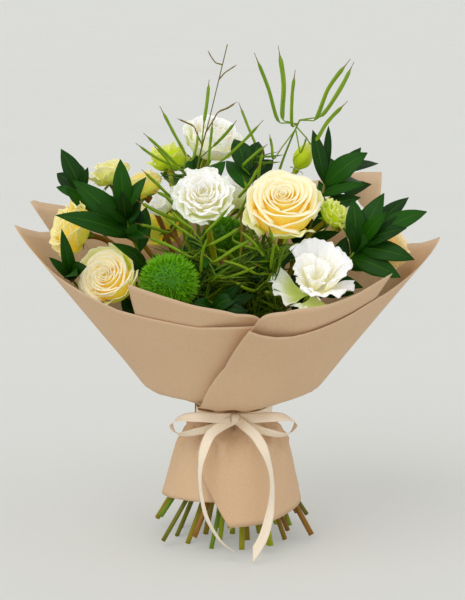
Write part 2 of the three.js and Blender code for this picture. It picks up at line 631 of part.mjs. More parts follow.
// Rims and hems are [angle, height] in rising order. The left sheet runs from its back end past -180 to the
// front. A sheet's side edges are given as angles at the hem, the tie, the cone's middle and the rim.
const LEFT_SHEET = {
  from: [-218, -216, -211, -208], to: [-66, -72, -76, -78], columns: 8,
  hem: [[-220, 40], [-180, 44], [-130, 50], [-66, 54]],
  rim: [[-208, 300], [-194, 304], [-180, 318], [-160, 280], [-131, 253], [-102, 241], [-78, 243]],
  layer: () => 0,
  flap: { fromStart: false, reach: [-137, -121], rim: [[-122, 283], [-88, 250], [-78, 245]] },
};
const RIGHT_SHEET = {
  from: [-92, -126, -93, -85], to: [36, 36, 28, 24], columns: 9,
  hem: [[-92, 30], [-60, 33], [0, 38], [36, 40]],
  rim: [[-85, 240], [-70, 241], [-47, 252], [-33, 263], [-19, 281], [0, 306], [12, 294], [24, 288]],
  layer: (angle) => 2 * (1 - ease(angle, -70, -36)),
  flap: { fromStart: true, reach: [-33, -37.5], rim: [[-85, 246], [-70, 258], [-50, 266], [-37, 285]] },
};
const BACK_SHEET = {
  from: [18, 18, 33, 41], to: [162, 162, 161, 160], columns: 8,
  hem: [[18, 44], [90, 40], [162, 48]],
  rim: [[41, 362], [47, 360], [60, 346], [90, 328], [140, 322], [158, 337], [160, 335]],
  layer: (angle) => 1.4 - 1.4 * ease(angle, 40, 64) * (1 - ease(angle, 116, 140)),
};

// ---------------------------------------------------------------- ribbon and twine
/** A flat strip along a curve: points with the direction of the strip's width at each. */
function strip(stations, segments) {
  const line = new THREE.CatmullRomCurve3(stations.map(([p]) => vec(p)), false, "centripetal");
  const widths = new THREE.CatmullRomCurve3(stations.map(([, w]) => vec(w)), false, "centripetal");
  return blade(1, segments, RIBBON_THICKNESS, (u, v) => (
    line.getPoint(v).addScaledVector(widths.getPoint(v).normalize(), (u - 0.5) * RIBBON_WIDTH)));
}

// The ribbon's way, as [point, direction of the ribbon's width] from the knot on.
const KNOT = [3, -45.4, 131];
const LEFT_LOOP = [
  [KNOT, [0, 0.3, 1]],
  [[-12, -56, 134], [0, 0.4, 1]],
  [[-34, -64, 137], [0, 0.6, 1]],
  [[-52, -60, 135], [0.3, 0.9, 0.4]],
  [[-60, -53, 127], [0.3, 1, 0]],
  [[-54, -50, 117], [0.2, 0.9, -0.5]],
  [[-32, -56, 121], [0, 0.6, -1]],
  [KNOT, [0, 0.3, -1]],
];
const RIGHT_LOOP = [
  [KNOT, [0, 0.3, 1]],
  [[18, -56, 134], [0, 0.4, 1]],
  [[38, -64, 137], [0, 0.6, 1]],
  [[54, -58, 135], [-0.3, 0.9, 0.4]],
  [[62, -51, 127], [-0.3, 1, 0]],
  [[54, -49, 116], [-0.2, 0.9, -0.5]],
  [[34, -56, 120], [0, 0.6, -1]],
  [KNOT, [0, 0.3, -1]],
];
const LEFT_TAIL = [
  [KNOT, [0.6, 0, 1]],
  [[-15, -62, 127], [0.6, 0, 1]],
  [[-27, -70, 109], [1, 0.2, 0.5]],
  [[-33, -80, 78], [0.6, 0.8, 0]],
  [[-29, -90, 44], [0.6, 0.8, 0]],
  [[-12, -94, 16], [0.8, 0.6, 0.4]],
  [[2, -96, 5], [0.5, 0.3, 1]],
];
const RIGHT_TAIL = [
  [KNOT, [-0.6, 0, 1]],
  [[16, -62, 128], [-0.6, 0, 1]],
  [[31, -72, 106], [-1, 0.2, 0.5]],
  [[39, -82, 78], [-0.5, 0.9, 0]],
  [[38, -92, 52], [-0.8, 0.6, 0]],
  [[28, -102, 24], [-1, 0.3, -0.3]],
  [[16, -110, 5.5], [-1, 0.1, -0.6]],
];
const LOOP_STEPS = 9;
const TAIL_STEPS = 8;

/** The outermost layer of paper under the ribbon's band at an angle in degrees, or one pleat beside it. */
function outerLayer(angle) {
  const beside = 180 / PLEATS + 1;
  const onSheet = ({ from, to, layer }) => {
    const turned = from[1] < -180 && angle > 180 + to[1] ? angle - 360 : angle;
    return turned > from[1] - beside && turned < to[1] + beside ? layer(turned) : 0;
  };
  return Math.max(...[LEFT_SHEET, RIGHT_SHEET, BACK_SHEET].map(onSheet));
}

/** The ribbon: a band round the gathered paper, its knot, two loops and two tails. */
function ribbon() {
  const half = RIBBON_WIDTH / 2;
  const crest = WAIST_RADIUS + PLEAT_DEPTH + PAPER / 2 + CLEAR;
  const profile = [[0, -half], [RIBBON_THICKNESS, -half], [RIBBON_THICKNESS, half], [0, half], [0, -half]];
  const outline = profile.map(([r, z]) => new THREE.Vector2(crest + r, z));
  const band = new THREE.LatheGeometry(outline, 2 * PLEATS).rotateX(Math.PI / 2);
  const places = band.attributes.position;
  for (let i = 0; i < places.count; i++) {
    const angle = Math.atan2(places.getY(i), places.getX(i));
    const layers = outerLayer(THREE.MathUtils.radToDeg(angle));
    const radius = Math.hypot(places.getX(i), places.getY(i)) + layers * LAYER_AT_TIE;
    places.setXYZ(i, radius * Math.cos(angle), radius * Math.sin(angle), places.getZ(i) + BAND_HEIGHT);
  }
  const knot = solidOf(new THREE.SphereGeometry(1, 8, 5).scale(7, 4.4, 6).translate(...KNOT));
  const loops = [LEFT_LOOP, RIGHT_LOOP].map((line) => strip(line, LOOP_STEPS));
  const tails = [LEFT_TAIL, RIGHT_TAIL].map((line) => strip(line, TAIL_STEPS));
  return Manifold.union([solidOf(band), knot, ...loops, ...tails]);
}

/** Twine wound round the stems at the tie, its turns fused side by side in one ring. */
function twine() {
  const inner = BUNDLE_RADIUS / Math.cos(Math.PI / (2 * PLEATS));
  const outer = WAIST_RADIUS - PLEAT_DEPTH - PAPER / 2 - CLEAR;
  const half = (outer - inner) / 2;
  const groove = outer - half;
  const low = -TWINE_TURNS * half;
  const outline = [[inner, low], [groove, low]];
  for (let turn = 0; turn < TWINE_TURNS; turn++) {
    outline.push([outer, low + (2 * turn + 1) * half], [groove, low + (2 * turn + 2) * half]);
  }
  outline.push([inner, -low], [inner, low]);
  const ring = new THREE.LatheGeometry(outline.map((p) => new THREE.Vector2(...p)), 2 * PLEATS);
  return solidOf(ring.rotateX(Math.PI / 2).translate(0, 0, BAND_HEIGHT));
}

// ---------------------------------------------------------------- assembly
const bouquet = new THREE.Group();
bouquet.name = "bouquet";
const taken = []; // solids grown by the clearance, which later foliage is cut clear of

/** Adds a mesh to the bouquet. */
function addMesh(name, solid, color, roughness = 0.7) {
  const material = new THREE.MeshStandardMaterial({ color, roughness, metalness: 0 });
  const mesh = new THREE.Mesh(geometryOf(solid), material);
  mesh.name = name;
  bouquet.add(mesh);
  return mesh;
}

/** Remembers a solid that later foliage keeps off. */
function keepClear(solid) {
  const { min, max } = solid.boundingBox();
  taken.push({ solid, box: new THREE.Box3(vec(min), vec(max)) });
}

/** Adds foliage cut clear of everything before it, and keeps its grown shape for what follows. */
function addFoliage(plant, build, color) {
  const whole = build(plant, 0);
  const { min, max } = whole.boundingBox();
  const box = new THREE.Box3(vec(min), vec(max));
  const near = taken.filter((other) => box.intersectsBox(other.box));
  const cut = near.reduce((solid, other) => solid.subtract(other.solid), whole);
  addMesh(plant.name, largestBody(cut), color);
  keepClear(build(plant, CLEAR));
}

/** A bloom with its solids and colour, and the stem that carries it: base is from the foot to the centre. */
function bloom(plant, { head, cover, color, base }) {
  const stem = plant.width > WIDE_BLOOM ? STEM_RADIUS : SHOOT_RADIUS;
  const cup = mix(stem, CUP_RADIUS, plant.width / ROSES[0].width);
  const heading = Math.atan2(plant.centre[1], plant.centre[0]);
  return { ...plant, head, cover, color, base, stem, cup, heading, seat: CLEAR };
}

/** A bloom with whorled petals. */
function whorledBloom(plant, shape, color, base) {
  const head = whorledHead(plant.width, shape, HEAD_COLUMNS);
  return bloom(plant, { head, cover: coverOf(plant.width, shape), color, base: base * plant.width / 2 });
}

/** The closed bud. */
function closedBud(plant) {
  const head = budHead(plant.width);
  return bloom(plant, { head, cover: head, color: PALE_GREEN, base: BUD_BASE * plant.width });
}

/** A dianthus, whose stem reaches in between the spikes. */
function dianthusBloom(plant) {
  const cover = solidOf(new THREE.SphereGeometry(plant.width / 2, 12, 8));
  const head = dianthusHead(plant.width, plant.detail);
  const seat = DIANTHUS_CORE * plant.width / 2 + CLEAR;
  return { ...bloom(plant, { head, cover, color: MOSS_GREEN, base: 0 }), seat, cup: STEM_RADIUS };
}

const BLOOMS = [
  ...ROSES.map((plant) => whorledBloom(plant, ROSE_SHAPE, CREAM, ROSE_BASE)),
  ...LISIANTHUS.map((plant) => whorledBloom(plant, lisianthusShape(plant.open), WHITE, LISIANTHUS_BASE)),
  ...GREEN_BLOOMS.map((plant) => (
    whorledBloom(plant, lisianthusShape(plant.open), PALE_GREEN, LISIANTHUS_BASE))),
  closedBud(BUD),
  ...DIANTHUS.map(dianthusBloom),
];
const SPRAYS = [...RUSCUS, ...PODS].map((plant) => {
  const top = plant.via.at(-1);
  return { ...plant, stem: THIN_STEM, heading: Math.atan2(top[1], top[0]) };
});
dealSlots([...BLOOMS, ...SPRAYS]);

for (const [name, sheet] of Object.entries({
  paper_left: LEFT_SHEET, paper_right: RIGHT_SHEET, paper_back: BACK_SHEET,
})) {
  addMesh(name, paperSheet(sheet), KRAFT, 0.9);
  keepClear(paperSheet(sheet, CLEAR));
}
addMesh("satin_ribbon", ribbon(), IVORY, 0.4);
addMesh("binding_twine", twine(), JUTE, 0.95);

for (const plant of BLOOMS) {
  addMesh(`${plant.name}_stem`, bloomStem(plant, 0), STEM_GREEN);
  const grownStem = bloomStem(plant, CLEAR);
  keepClear(grownStem);
  const toBloom = new THREE.Matrix4().compose(footOf(plant), turnOf(plant), new THREE.Vector3(1, 1, 1));
  const head = plant.head.subtract(grownStem.transform(toBloom.clone().invert().elements));
  const mesh = addMesh(plant.name, head, plant.color);
  mesh.position.copy(footOf(plant));
  mesh.quaternion.copy(turnOf(plant));
  const swollen = 1 + LEAN + (2 * CLEAR) / plant.width;
  keepClear(plant.cover.scale([swollen, swollen, swollen]).transform(toBloom.elements));
}
for (const plant of SPRAYS.filter(({ leaves }) => leaves)) addFoliage(plant, ruscus, DARK_GREEN);
for (const plant of SPRAYS.filter(({ pods }) => pods)) addFoliage(plant, podStem, POD_GREEN);

// The box's middle is the origin, and the inner stems' cut ends are at height 0.
const middle = new THREE.Box3().setFromObject(bouquet).getCenter(new THREE.Vector3());
bouquet.position.set(-middle.x, -middle.y, 0);

export default bouquet;
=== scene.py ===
"""A spiral hand-tied bouquet in three sheets of kraft paper, gathered by a satin ribbon.

Metres, +Z up, the flowers face -Y. Sizes are written in millimetres, measured from the axis of the tie.
"""

import logging
import math
import random
from collections.abc import Callable, Sequence
from dataclasses import dataclass
from enum import Enum
from typing import ClassVar

import bmesh
import bpy
from mathutils import Matrix, Quaternion, Vector, noise


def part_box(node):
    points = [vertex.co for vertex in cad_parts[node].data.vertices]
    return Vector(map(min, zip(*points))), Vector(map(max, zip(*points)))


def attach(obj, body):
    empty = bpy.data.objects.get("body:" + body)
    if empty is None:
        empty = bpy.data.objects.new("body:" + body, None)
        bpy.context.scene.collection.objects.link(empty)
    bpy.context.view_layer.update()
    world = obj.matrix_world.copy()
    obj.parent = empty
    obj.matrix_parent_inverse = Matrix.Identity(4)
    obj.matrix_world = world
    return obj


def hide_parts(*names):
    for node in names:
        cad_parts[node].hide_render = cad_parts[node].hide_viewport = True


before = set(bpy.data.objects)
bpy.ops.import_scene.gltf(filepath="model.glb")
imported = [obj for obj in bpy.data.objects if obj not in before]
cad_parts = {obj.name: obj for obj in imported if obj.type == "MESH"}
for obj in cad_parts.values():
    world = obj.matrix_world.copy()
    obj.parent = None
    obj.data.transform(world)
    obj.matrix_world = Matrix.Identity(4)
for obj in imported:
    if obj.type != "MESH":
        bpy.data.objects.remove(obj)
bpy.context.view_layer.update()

LOG = logging.getLogger("bouquet")
BODY = "root"
MM = 0.001
TIE_LOW, TIE_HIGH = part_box("binding_twine")
TIE_AXIS = (TIE_LOW + TIE_HIGH) / 2

Color = tuple[float, float, float, float]
Pairs = Sequence[tuple[float, float]]
Place = tuple[float, float, float]
Socket = bpy.types.NodeSocket
Surface = Callable[[float, float], Vector]
Tone = float | Callable[[float, float], float]
Value = Socket | float | Color
WELD = 1e-7  # metres: points closer than this are one


# ---------------------------------------------------------------- small sums
def mm(point: Sequence[float]) -> Vector:
    """A point in millimetres from the tie's axis and the floor."""
    return Vector(point)


def placed(point: Vector) -> Vector:
    """The same point in metres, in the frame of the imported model."""
    return Vector((point.x * MM + TIE_AXIS.x, point.y * MM + TIE_AXIS.y, point.z * MM))


def mix(low: float, high: float, share: float) -> float:
    """The value at a share of the way from low to high."""
    return low + (high - low) * share


def ease(value: float, start: float, end: float) -> float:
    """A soft step from 0 at start to 1 at end."""
    share = min(max((value - start) / (end - start), 0.0), 1.0)
    return share * share * (3 - 2 * share)


def along(pairs: Pairs, position: float) -> float:
    """A value read from (position, value) pairs in rising order, straight between them.

    Args:
        pairs: The pairs.
        position: Where to read them.

    Returns:
        The value.
    """
    if position <= pairs[0][0]:
        return pairs[0][1]
    for (start, low), (end, high) in zip(pairs, pairs[1:]):
        if position <= end:
            return mix(low, high, (position - start) / (end - start))
    return pairs[-1][1]


def wave(x: float, y: float, z: float) -> float:
    """A smooth noise between -1 and 1, read at a place."""
    return noise.noise(Vector((x, y, z)))


def scatter(luck: random.Random) -> Vector:
    """A draw between -1 and 1 in each direction."""
    return Vector([luck.uniform(-1, 1) for _ in range(3)])


def stray(luck: random.Random, size: float) -> Vector:
    """A draw in each direction, mostly within the given size."""
    return Vector([luck.gauss(0, size) for _ in range(3)])


def facing(turn: float, tilt: float) -> Vector:
    """The direction of a turn and a tilt in degrees: turn -90 is the front, tilt is above the horizon.

    Args:
        turn: Degrees round the vertical.
        tilt: Degrees above the horizon.

    Returns:
        The direction, one long.
    """
    level = math.cos(math.radians(tilt))
    return Vector((
        level * math.cos(math.radians(turn)),
        level * math.sin(math.radians(turn)),
        math.sin(math.radians(tilt)),
    ))


def tint(red: int, green: int, blue: int) -> Color:
    """A colour given as it looks on a screen, 0 to 255, as a shader's linear colour.

    Args:
        red: Its red.
        green: Its green.
        blue: Its blue.

    Returns:
        The colour, opaque.
    """
    def linear(value: int) -> float:
        """One channel, from its screen value to its linear one."""
        share = value / 255
        return share / 12.92 if share <= 0.04045 else ((share + 0.055) / 1.055) ** 2.4

    return (linear(red), linear(green), linear(blue), 1.0)


class Bend:
    """A smooth line through points, which leaves no loops where they are close together."""

    def __init__(self, points: Sequence[Vector]) -> None:
        """Keeps the points and adds one beyond each end.

        Args:
            points: The points, in order.
        """
        first = points[0] * 2 - points[1]
        last = points[-1] * 2 - points[-2]
        self.points = [first, *points, last]
        self.spans = len(points) - 1

    def point(self, share: float) -> Vector:
        """The point at a share from 0 to 1, each span between two points taking an equal part.

        Args:
            share: From the first point at 0 to the last at 1.

        Returns:
            The point.
        """
        where = min(max(share, 0.0), 1.0) * self.spans
        span = min(int(where), self.spans - 1)
        before, start, end, after = self.points[span:span + 4]
        gaps = [max((b - a).length, 1e-6) ** 0.5 for a, b in ((before, start), (start, end), (end, after))]
        leaving = (start - before) / gaps[0] - (end - before) / (gaps[0] + gaps[1]) + (end - start) / gaps[1]
        arriving = (end - start) / gaps[1] - (after - start) / (gaps[1] + gaps[2]) + (after - end) / gaps[2]
        leaving, arriving = leaving * gaps[1], arriving * gaps[1]
        t = where - span
        return (
            start * (2 * t ** 3 - 3 * t ** 2 + 1) + leaving * (t ** 3 - 2 * t ** 2 + t)
            + end * (3 * t ** 2 - 2 * t ** 3) + arriving * (t ** 3 - t ** 2)
        )


# ---------------------------------------------------------------- meshes
def new_object(name: str, data: bpy.types.ID) -> bpy.types.Object:
    """A new object of the scene that shows a mesh, a light or a camera.

    Args:
        name: Its name.
        data: What it shows.

    Returns:
        The object.
    """
    made = bpy.data.objects.new(name, data)
    bpy.context.scene.collection.objects.link(made)
    return made


class Piece:
    """One mesh of the bouquet while it is made, in millimetres from the tie's axis."""

    def __init__(self, name: str) -> None:
        """Starts an empty mesh with a UV map and two attributes for its finish: tone and shade.

        Args:
            name: The piece's name.
        """
        self.name = name
        self.mesh = bmesh.new()
        self.uv = self.mesh.loops.layers.uv.new("surface")
        self.tone = self.mesh.verts.layers.float.new("tone")
        self.shade = self.mesh.verts.layers.float.new("shade")

    def sheet(
        self, columns: int, rows: int, surface: Surface, tone: Tone = 0.0, shade: float = 0.0,
    ) -> list[bmesh.types.BMVert]:
        """Adds a grid laid along surface(u, v).

        Args:
            columns: Faces across, along u.
            rows: Faces from one end to the other, along v.
            surface: The place of a point of the sheet.
            tone: The tone attribute, as a number or read at (u, v).
            shade: The shade attribute.

        Returns:
            The sheet's vertices.
        """
        made = bmesh.ops.create_grid(
            self.mesh, x_segments=columns, y_segments=rows, size=0.5, calc_uvs=True)["verts"]
        for vert in made:
            u, v = vert.co.x + 0.5, vert.co.y + 0.5
            vert[self.tone] = tone(u, v) if callable(tone) else tone
            vert[self.shade] = shade
            vert.co = placed(surface(u, v))
        return made

    def tube(
        self, points: Sequence[Vector], radii: Sequence[float], sides: int, tone: Tone = 0.0,
        shade: float = 0.0, cut_slot: int = 0,
    ) -> None:
        """Adds a closed round bar.

        Args:
            points: Its middle line.
            radii: Its radius at each point.
            sides: Faces round it.
            tone: The tone attribute, as a number or read at (round, along).
            shade: The shade attribute.
            cut_slot: Material slot of the end face at the first point.
        """
        chord = (points[-1] - points[0]).normalized()
        guide = Vector((1, 0, 0)) if abs(chord.x) < 0.7 else Vector((0, 1, 0))
        frames = []
        for index in range(len(points)):
            heading = points[min(index + 1, len(points) - 1)] - points[max(index - 1, 0)]
            heading.normalize()
            across = (guide - heading * guide.dot(heading)).normalized()
            frames.append((points[index], across, heading.cross(across), radii[index]))
        last = len(points) - 1

        def surface(u: float, v: float) -> Vector:
            """The tube's skin, once round for u and from end to end for v.

            Args:
                u: The place across, from 0 to 1.
                v: The place along, from 0 to 1.

            Returns:
                The point.
            """
            point, across, other, radius = frames[round(v * last)]
            angle = 2 * math.pi * (1 - u)
            return point + across * (radius * math.cos(angle)) + other * (radius * math.sin(angle))

        made = self.sheet(sides, last, surface, tone, shade)
        first = placed(frames[0][0])
        reach = (placed(frames[1][0]) - first).length / 2
        bmesh.ops.remove_doubles(self.mesh, verts=made, dist=WELD)
        kept = [vert for vert in made if vert.is_valid]
        rims = {edge for vert in kept for edge in vert.link_edges if edge.is_boundary}
        for cap in bmesh.ops.holes_fill(self.mesh, edges=list(rims), sides=0)["faces"]:
            cap.material_index = cut_slot if (cap.calc_center_median() - first).length < reach else 0
            cap.smooth = False

    def finish(
        self, slot: str, materials: Sequence[bpy.types.Material], nodes: Sequence[str],
        thickness: float = 0.0,
    ) -> bpy.types.Object:
        """Turns the mesh into an object that rides on the bouquet.

        Args:
            slot: Not used.
            materials: The finishes, in the order of the faces' material indices.
            nodes: The CAD nodes that the object stands for.
            thickness: Thickness that its sheets get, in millimetres, or 0 for closed shapes.

        Returns:
            The object.
        """
        if not thickness:
            bmesh.ops.recalc_face_normals(self.mesh, faces=self.mesh.faces)
        data = bpy.data.meshes.new(self.name)
        for face in self.mesh.faces:
            face.smooth = len(face.verts) < 5
        self.mesh.to_mesh(data)
        self.mesh.free()
        for material in materials:
            data.materials.append(material)
        made = new_object(self.name, data)
        if thickness:
            wall = made.modifiers.new("thickness", "SOLIDIFY")
            wall.thickness = thickness * MM
            wall.offset = 0
        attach(made, BODY)
        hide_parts(*nodes)
        LOG.info("%s: %d faces", self.name, len(data.polygons))
        return made


# ---------------------------------------------------------------- finishes
class Nodes:
    """Lays out the shader nodes of one material or group."""

    def __init__(self, tree: bpy.types.NodeTree) -> None:
        """Works in the given node tree."""
        self.tree = tree

    def fill(self, node: bpy.types.Node, inputs: dict) -> None:
        """Gives a node's inputs, by name or number, a value each or a socket to read.

        Args:
            node: The node.
            inputs: The values and sockets.
        """
        for key, value in inputs.items():
            if isinstance(value, Socket):
                self.tree.links.new(value, node.inputs[key])
            else:
                node.inputs[key].default_value = value

    def add(self, kind: str, inputs: dict | None = None, **settings: object) -> bpy.types.Node:
        """Adds a node.

        Args:
            kind: The node's type.
            inputs: Values or sockets for its inputs, by name or number.
            **settings: Its own properties.

        Returns:
            The node.
        """
        node = self.tree.nodes.new(kind)
        for key, value in settings.items():
            setattr(node, key, value)
        self.fill(node, inputs or {})
        return node

    def blend(self, share: Value, first: Value, second: Value, way: str = "MIX") -> Socket:
        """Two colours mixed by a share, or laid over each other the given way."""
        node = self.add("ShaderNodeMix", {0: share, 6: first, 7: second}, data_type="RGBA", blend_type=way)
        return node.outputs[2]

    def sum(self, way: str, first: Value, second: Value = 0.0, clamp: bool = False) -> Socket:
        """A sum of two values."""
        node = self.add("ShaderNodeMath", {0: first, 1: second}, operation=way, use_clamp=clamp)
        return node.outputs[0]


class Effects:
    """The shared effects, each a shader node group that cuts a noise to a soft mask."""

    def __init__(self) -> None:
        """Builds the groups: lines that run along a surface, and patches of uneven colour."""
        self.streaks = self._group("fine streaks", ("Across", "Along"), 3.0, 0.55)
        self.mottle = self._group("soft mottle", ("Size",), 4.0, 0.5)

    @staticmethod
    def _group(name: str, sizes: Sequence[str], detail: float, roughness: float) -> bpy.types.NodeTree:
        """Builds one effect.

        Args:
            name: The effect's name.
            sizes: The inputs that stretch the noise across and along, or the one that scales it.
            detail: The noise's detail.
            roughness: The noise's roughness.

        Returns:
            The group, with the further inputs Place, Low and High and the output Mask.
        """
        tree = bpy.data.node_groups.new(name, "ShaderNodeTree")
        tree.interface.new_socket(name="Place", in_out="INPUT", socket_type="NodeSocketVector")
        for label in (*sizes, "Low", "High"):
            tree.interface.new_socket(name=label, in_out="INPUT", socket_type="NodeSocketFloat")
        tree.interface.new_socket(name="Mask", in_out="OUTPUT", socket_type="NodeSocketFloat")
        nodes = Nodes(tree)
        given = nodes.add("NodeGroupInput").outputs
        place, scale = given["Place"], given[sizes[0]]
        if len(sizes) > 1:
            stretch = nodes.add("ShaderNodeCombineXYZ", {
                "X": given[sizes[0]], "Y": given[sizes[1]], "Z": given[sizes[1]]})
            place = nodes.add(
                "ShaderNodeVectorMath", {0: place, 1: stretch.outputs[0]}, operation="MULTIPLY").outputs[0]
            scale = 1.0
        grain = nodes.add("ShaderNodeTexNoise", {
            "Vector": place, "Scale": scale, "Detail": detail, "Roughness": roughness})
        mask = nodes.add("ShaderNodeMapRange", {
            "Value": grain.outputs["Fac"], "From Min": given["Low"], "From Max": given["High"]})
        nodes.add("NodeGroupOutput", {"Mask": mask.outputs["Result"]})
        return tree


class Paint(Nodes):
    """Lays out one material round its main shader, with the shared effects at hand."""

    SHINE = 0.28

    def __init__(self, material: bpy.types.Material, effects: Effects) -> None:
        """Works in the material's node tree.

        Args:
            material: The material.
            effects: The shared effects.
        """
        super().__init__(material.node_tree)
        self.shader = self.tree.nodes["Principled BSDF"]
        self.effects = effects

    def streaks(self, place: Socket, across: float, lengthways: float, low: float, high: float) -> Socket:
        """A mask of fine lines along a surface, such as veins, fibres and ribs."""
        values = {"Place": place, "Across": across, "Along": lengthways, "Low": low, "High": high}
        return self.add("ShaderNodeGroup", values, node_tree=self.effects.streaks).outputs["Mask"]

    def mottle(self, place: Socket, size: float, low: float, high: float) -> Socket:
        """A mask of soft patches."""
        values = {"Place": place, "Size": size, "Low": low, "High": high}
        return self.add("ShaderNodeGroup", values, node_tree=self.effects.mottle).outputs["Mask"]

    def wash(self, color: Value, over: Value, mask: Socket, strength: float) -> Socket:
        """A colour with another laid over it where the mask is, at the given strength."""
        return self.blend(self.sum("MULTIPLY", mask, strength), color, over)

    def window(self, value: Socket, start: float, end: float) -> Socket:
        """A soft step of a value from 0 at start to 1 at end."""
        values = {"Value": value, "From Min": start, "From Max": end}
        return self.add("ShaderNodeMapRange", values, interpolation_type="SMOOTHSTEP").outputs["Result"]

    def attribute(self, name: str) -> Socket:
        """A vertex attribute of the piece."""
        return self.add("ShaderNodeAttribute", attribute_name=name).outputs["Fac"]

    def object_place(self) -> Socket:
        """The place in the bouquet."""
        return self.add("ShaderNodeTexCoord").outputs["Object"]

    def surface_place(self) -> tuple[Socket, Socket, Socket]:
        """The place on the piece's surface as a vector, its distance from the middle, and how far along.

        Returns:
            The three sockets.
        """
        place = self.add("ShaderNodeUVMap", uv_map="surface").outputs["UV"]
        parts = self.add("ShaderNodeSeparateXYZ", {0: place}).outputs
        return place, self.sum("ABSOLUTE", self.sum("SUBTRACT", parts["X"], 0.5)), parts["Y"]

    def dress(
        self, color: Socket, roughness: float, height: Socket | None = None, depth: float = 0.0,
        values: dict | None = None,
    ) -> None:
        """Wires the main shader.

        Args:
            color: The colour's socket.
            roughness: The roughness.
            height: The relief's socket.
            depth: The relief's depth in millimetres.
            values: Further inputs of the shader.
        """
        inputs = {"Base Color": color, "Roughness": roughness, "Specular IOR Level": self.SHINE}
        inputs.update(values or {})
        if height is not None:
            bump = self.add("ShaderNodeBump", {"Strength": 1.0, "Distance": depth * MM, "Height": height})
            inputs["Normal"] = bump.outputs["Normal"]
        self.fill(self.shader, inputs)


@dataclass(frozen=True)
class Finish:
    """A finish: the material's name, and in each kind of finish its colours."""

    name: str

    def material(self, effects: Effects) -> bpy.types.Material:
        """The finish as a material.

        Args:
            effects: The shared effects.

        Returns:
            The material.
        """
        material = bpy.data.materials.new(self.name)
        material.use_nodes = True
        self.lay(Paint(material, effects))
        return material

    def lay(self, paint: Paint) -> None:
        """Lays out the material."""
        raise NotImplementedError


@dataclass(frozen=True)
class PetalFinish(Finish):
    """Petals, coloured by the height on the petal and by how far out the petal is.

    Attributes:
        base: At a petal's foot.
        blade: Over most of it.
        rim: At its rim.
        guard: Over the lower part of the outermost petals.
        guard_reach: How high that reaches.
    """

    base: Color
    blade: Color
    rim: Color
    guard: Color
    guard_reach: float = 0.75

    # Strength of the petals' painted glow: emission in place of light that passes through them.
    PAINTED_GLOW = 0.14

    def lay(self, paint: Paint) -> None:
        """Lays veins and soft patches over the colours, with a painted glow: emission that stands in for the
        light coming through the petals.

        Args:
            paint: The material's layout.
        """
        place, _, height = paint.surface_place()
        veins = paint.streaks(place, 46, 2.4, 0.38, 0.62)
        patches = paint.mottle(place, 2.6, 0.3, 0.7)
        color = paint.blend(paint.window(height, 0.25, 0.8), self.base, self.blade)
        color = paint.blend(paint.window(height, 0.55, 0.9), color, self.rim)
        outer = paint.window(paint.attribute("tone"), 0.55, 1.0)
        low = paint.sum("SUBTRACT", 1.0, paint.window(height, 0.2, self.guard_reach + 0.4))
        green = paint.sum("MULTIPLY", outer, paint.sum("ADD", paint.sum("MULTIPLY", low, 0.75), 0.25), True)
        color = paint.blend(green, color, self.guard)
        color = paint.wash(color, paint.blend(1.0, color, self.rim, "MULTIPLY"), patches, 0.3)
        color = paint.wash(color, paint.blend(1.0, color, self.base, "MULTIPLY"), veins, 0.14)
        # The emission is painted light: the petals glow by themselves, at the painted glow's strength.
        paint.dress(color, 0.58, veins, 0.22, {
            "Subsurface Weight": 0.5, "Subsurface Radius": (1.0, 0.94, 0.6), "Subsurface Scale": 0.005,
            "Emission Color": color, "Emission Strength": self.PAINTED_GLOW, "Sheen Weight": 0.12})


@dataclass(frozen=True)
class LeafFinish(Finish):
    """Leaves: dark and light green, their rib, and how glossy they are."""

    dark: Color
    light: Color
    rib: Color
    roughness: float

    def lay(self, paint: Paint) -> None:
        """Lays long veins and a lighter rib over a green that differs from leaf to leaf.

        Args:
            paint: The material's layout.
        """
        place, beside, _ = paint.surface_place()
        veins = paint.streaks(place, 26, 1.2, 0.4, 0.6)
        color = paint.blend(paint.attribute("shade"), self.dark, self.light)
        color = paint.wash(color, self.light, veins, 0.35)
        rib = paint.sum("SUBTRACT", 1.0, paint.window(beside, 0.01, 0.045))
        color = paint.wash(color, self.rib, rib, 0.35)
        relief = paint.sum("ADD", veins, paint.sum("MULTIPLY", rib, 2.0))
        paint.dress(color, self.roughness, relief, 0.12, {"Specular IOR Level": 0.16})


@dataclass(frozen=True)
class StemFinish(Finish):
    """Stems: fresh green, olive and red-brown ones, told apart by their shade; on the dianthus the third
    colour is painted shade.
    """

    fresh: Color
    olive: Color
    brown: Color

    def lay(self, paint: Paint) -> None:
        """Lays fibres along the stems and darkens them towards the third colour where the tone is 1: at real
        joints on the stems, and as painted shade deep in the dianthus ball.

        Args:
            paint: The material's layout.
        """
        place, _, _ = paint.surface_place()
        shade = paint.attribute("shade")
        fibres = paint.streaks(place, 9, 30, 0.3, 0.7)
        color = paint.blend(paint.window(shade, 0.25, 0.55), self.fresh, self.olive)
        color = paint.blend(paint.window(shade, 0.6, 0.85), color, self.brown)
        color = paint.wash(color, self.olive, fibres, 0.4)
        color = paint.wash(color, self.brown, paint.attribute("tone"), 0.5)
        paint.dress(color, 0.42, fibres, 0.12)


@dataclass(frozen=True)
class PodFinish(Finish):
    """Pods: a yellow-green wall, green seams and a brown beak."""

    wall: Color
    seam: Color
    beak: Color

    def lay(self, paint: Paint) -> None:
        """Lays seams along the pods, and browns them from fresh at tone 0 to dry at 1.

        Args:
            paint: The material's layout.
        """
        place, _, _ = paint.surface_place()
        seams = paint.streaks(place, 6, 5, 0.35, 0.65)
        color = paint.blend(seams, self.wall, self.seam)
        color = paint.wash(color, self.seam, paint.attribute("shade"), 0.55)
        color = paint.blend(paint.window(paint.attribute("tone"), 0.3, 1.0), color, self.beak)
        paint.dress(color, 0.46, seams, 0.15)


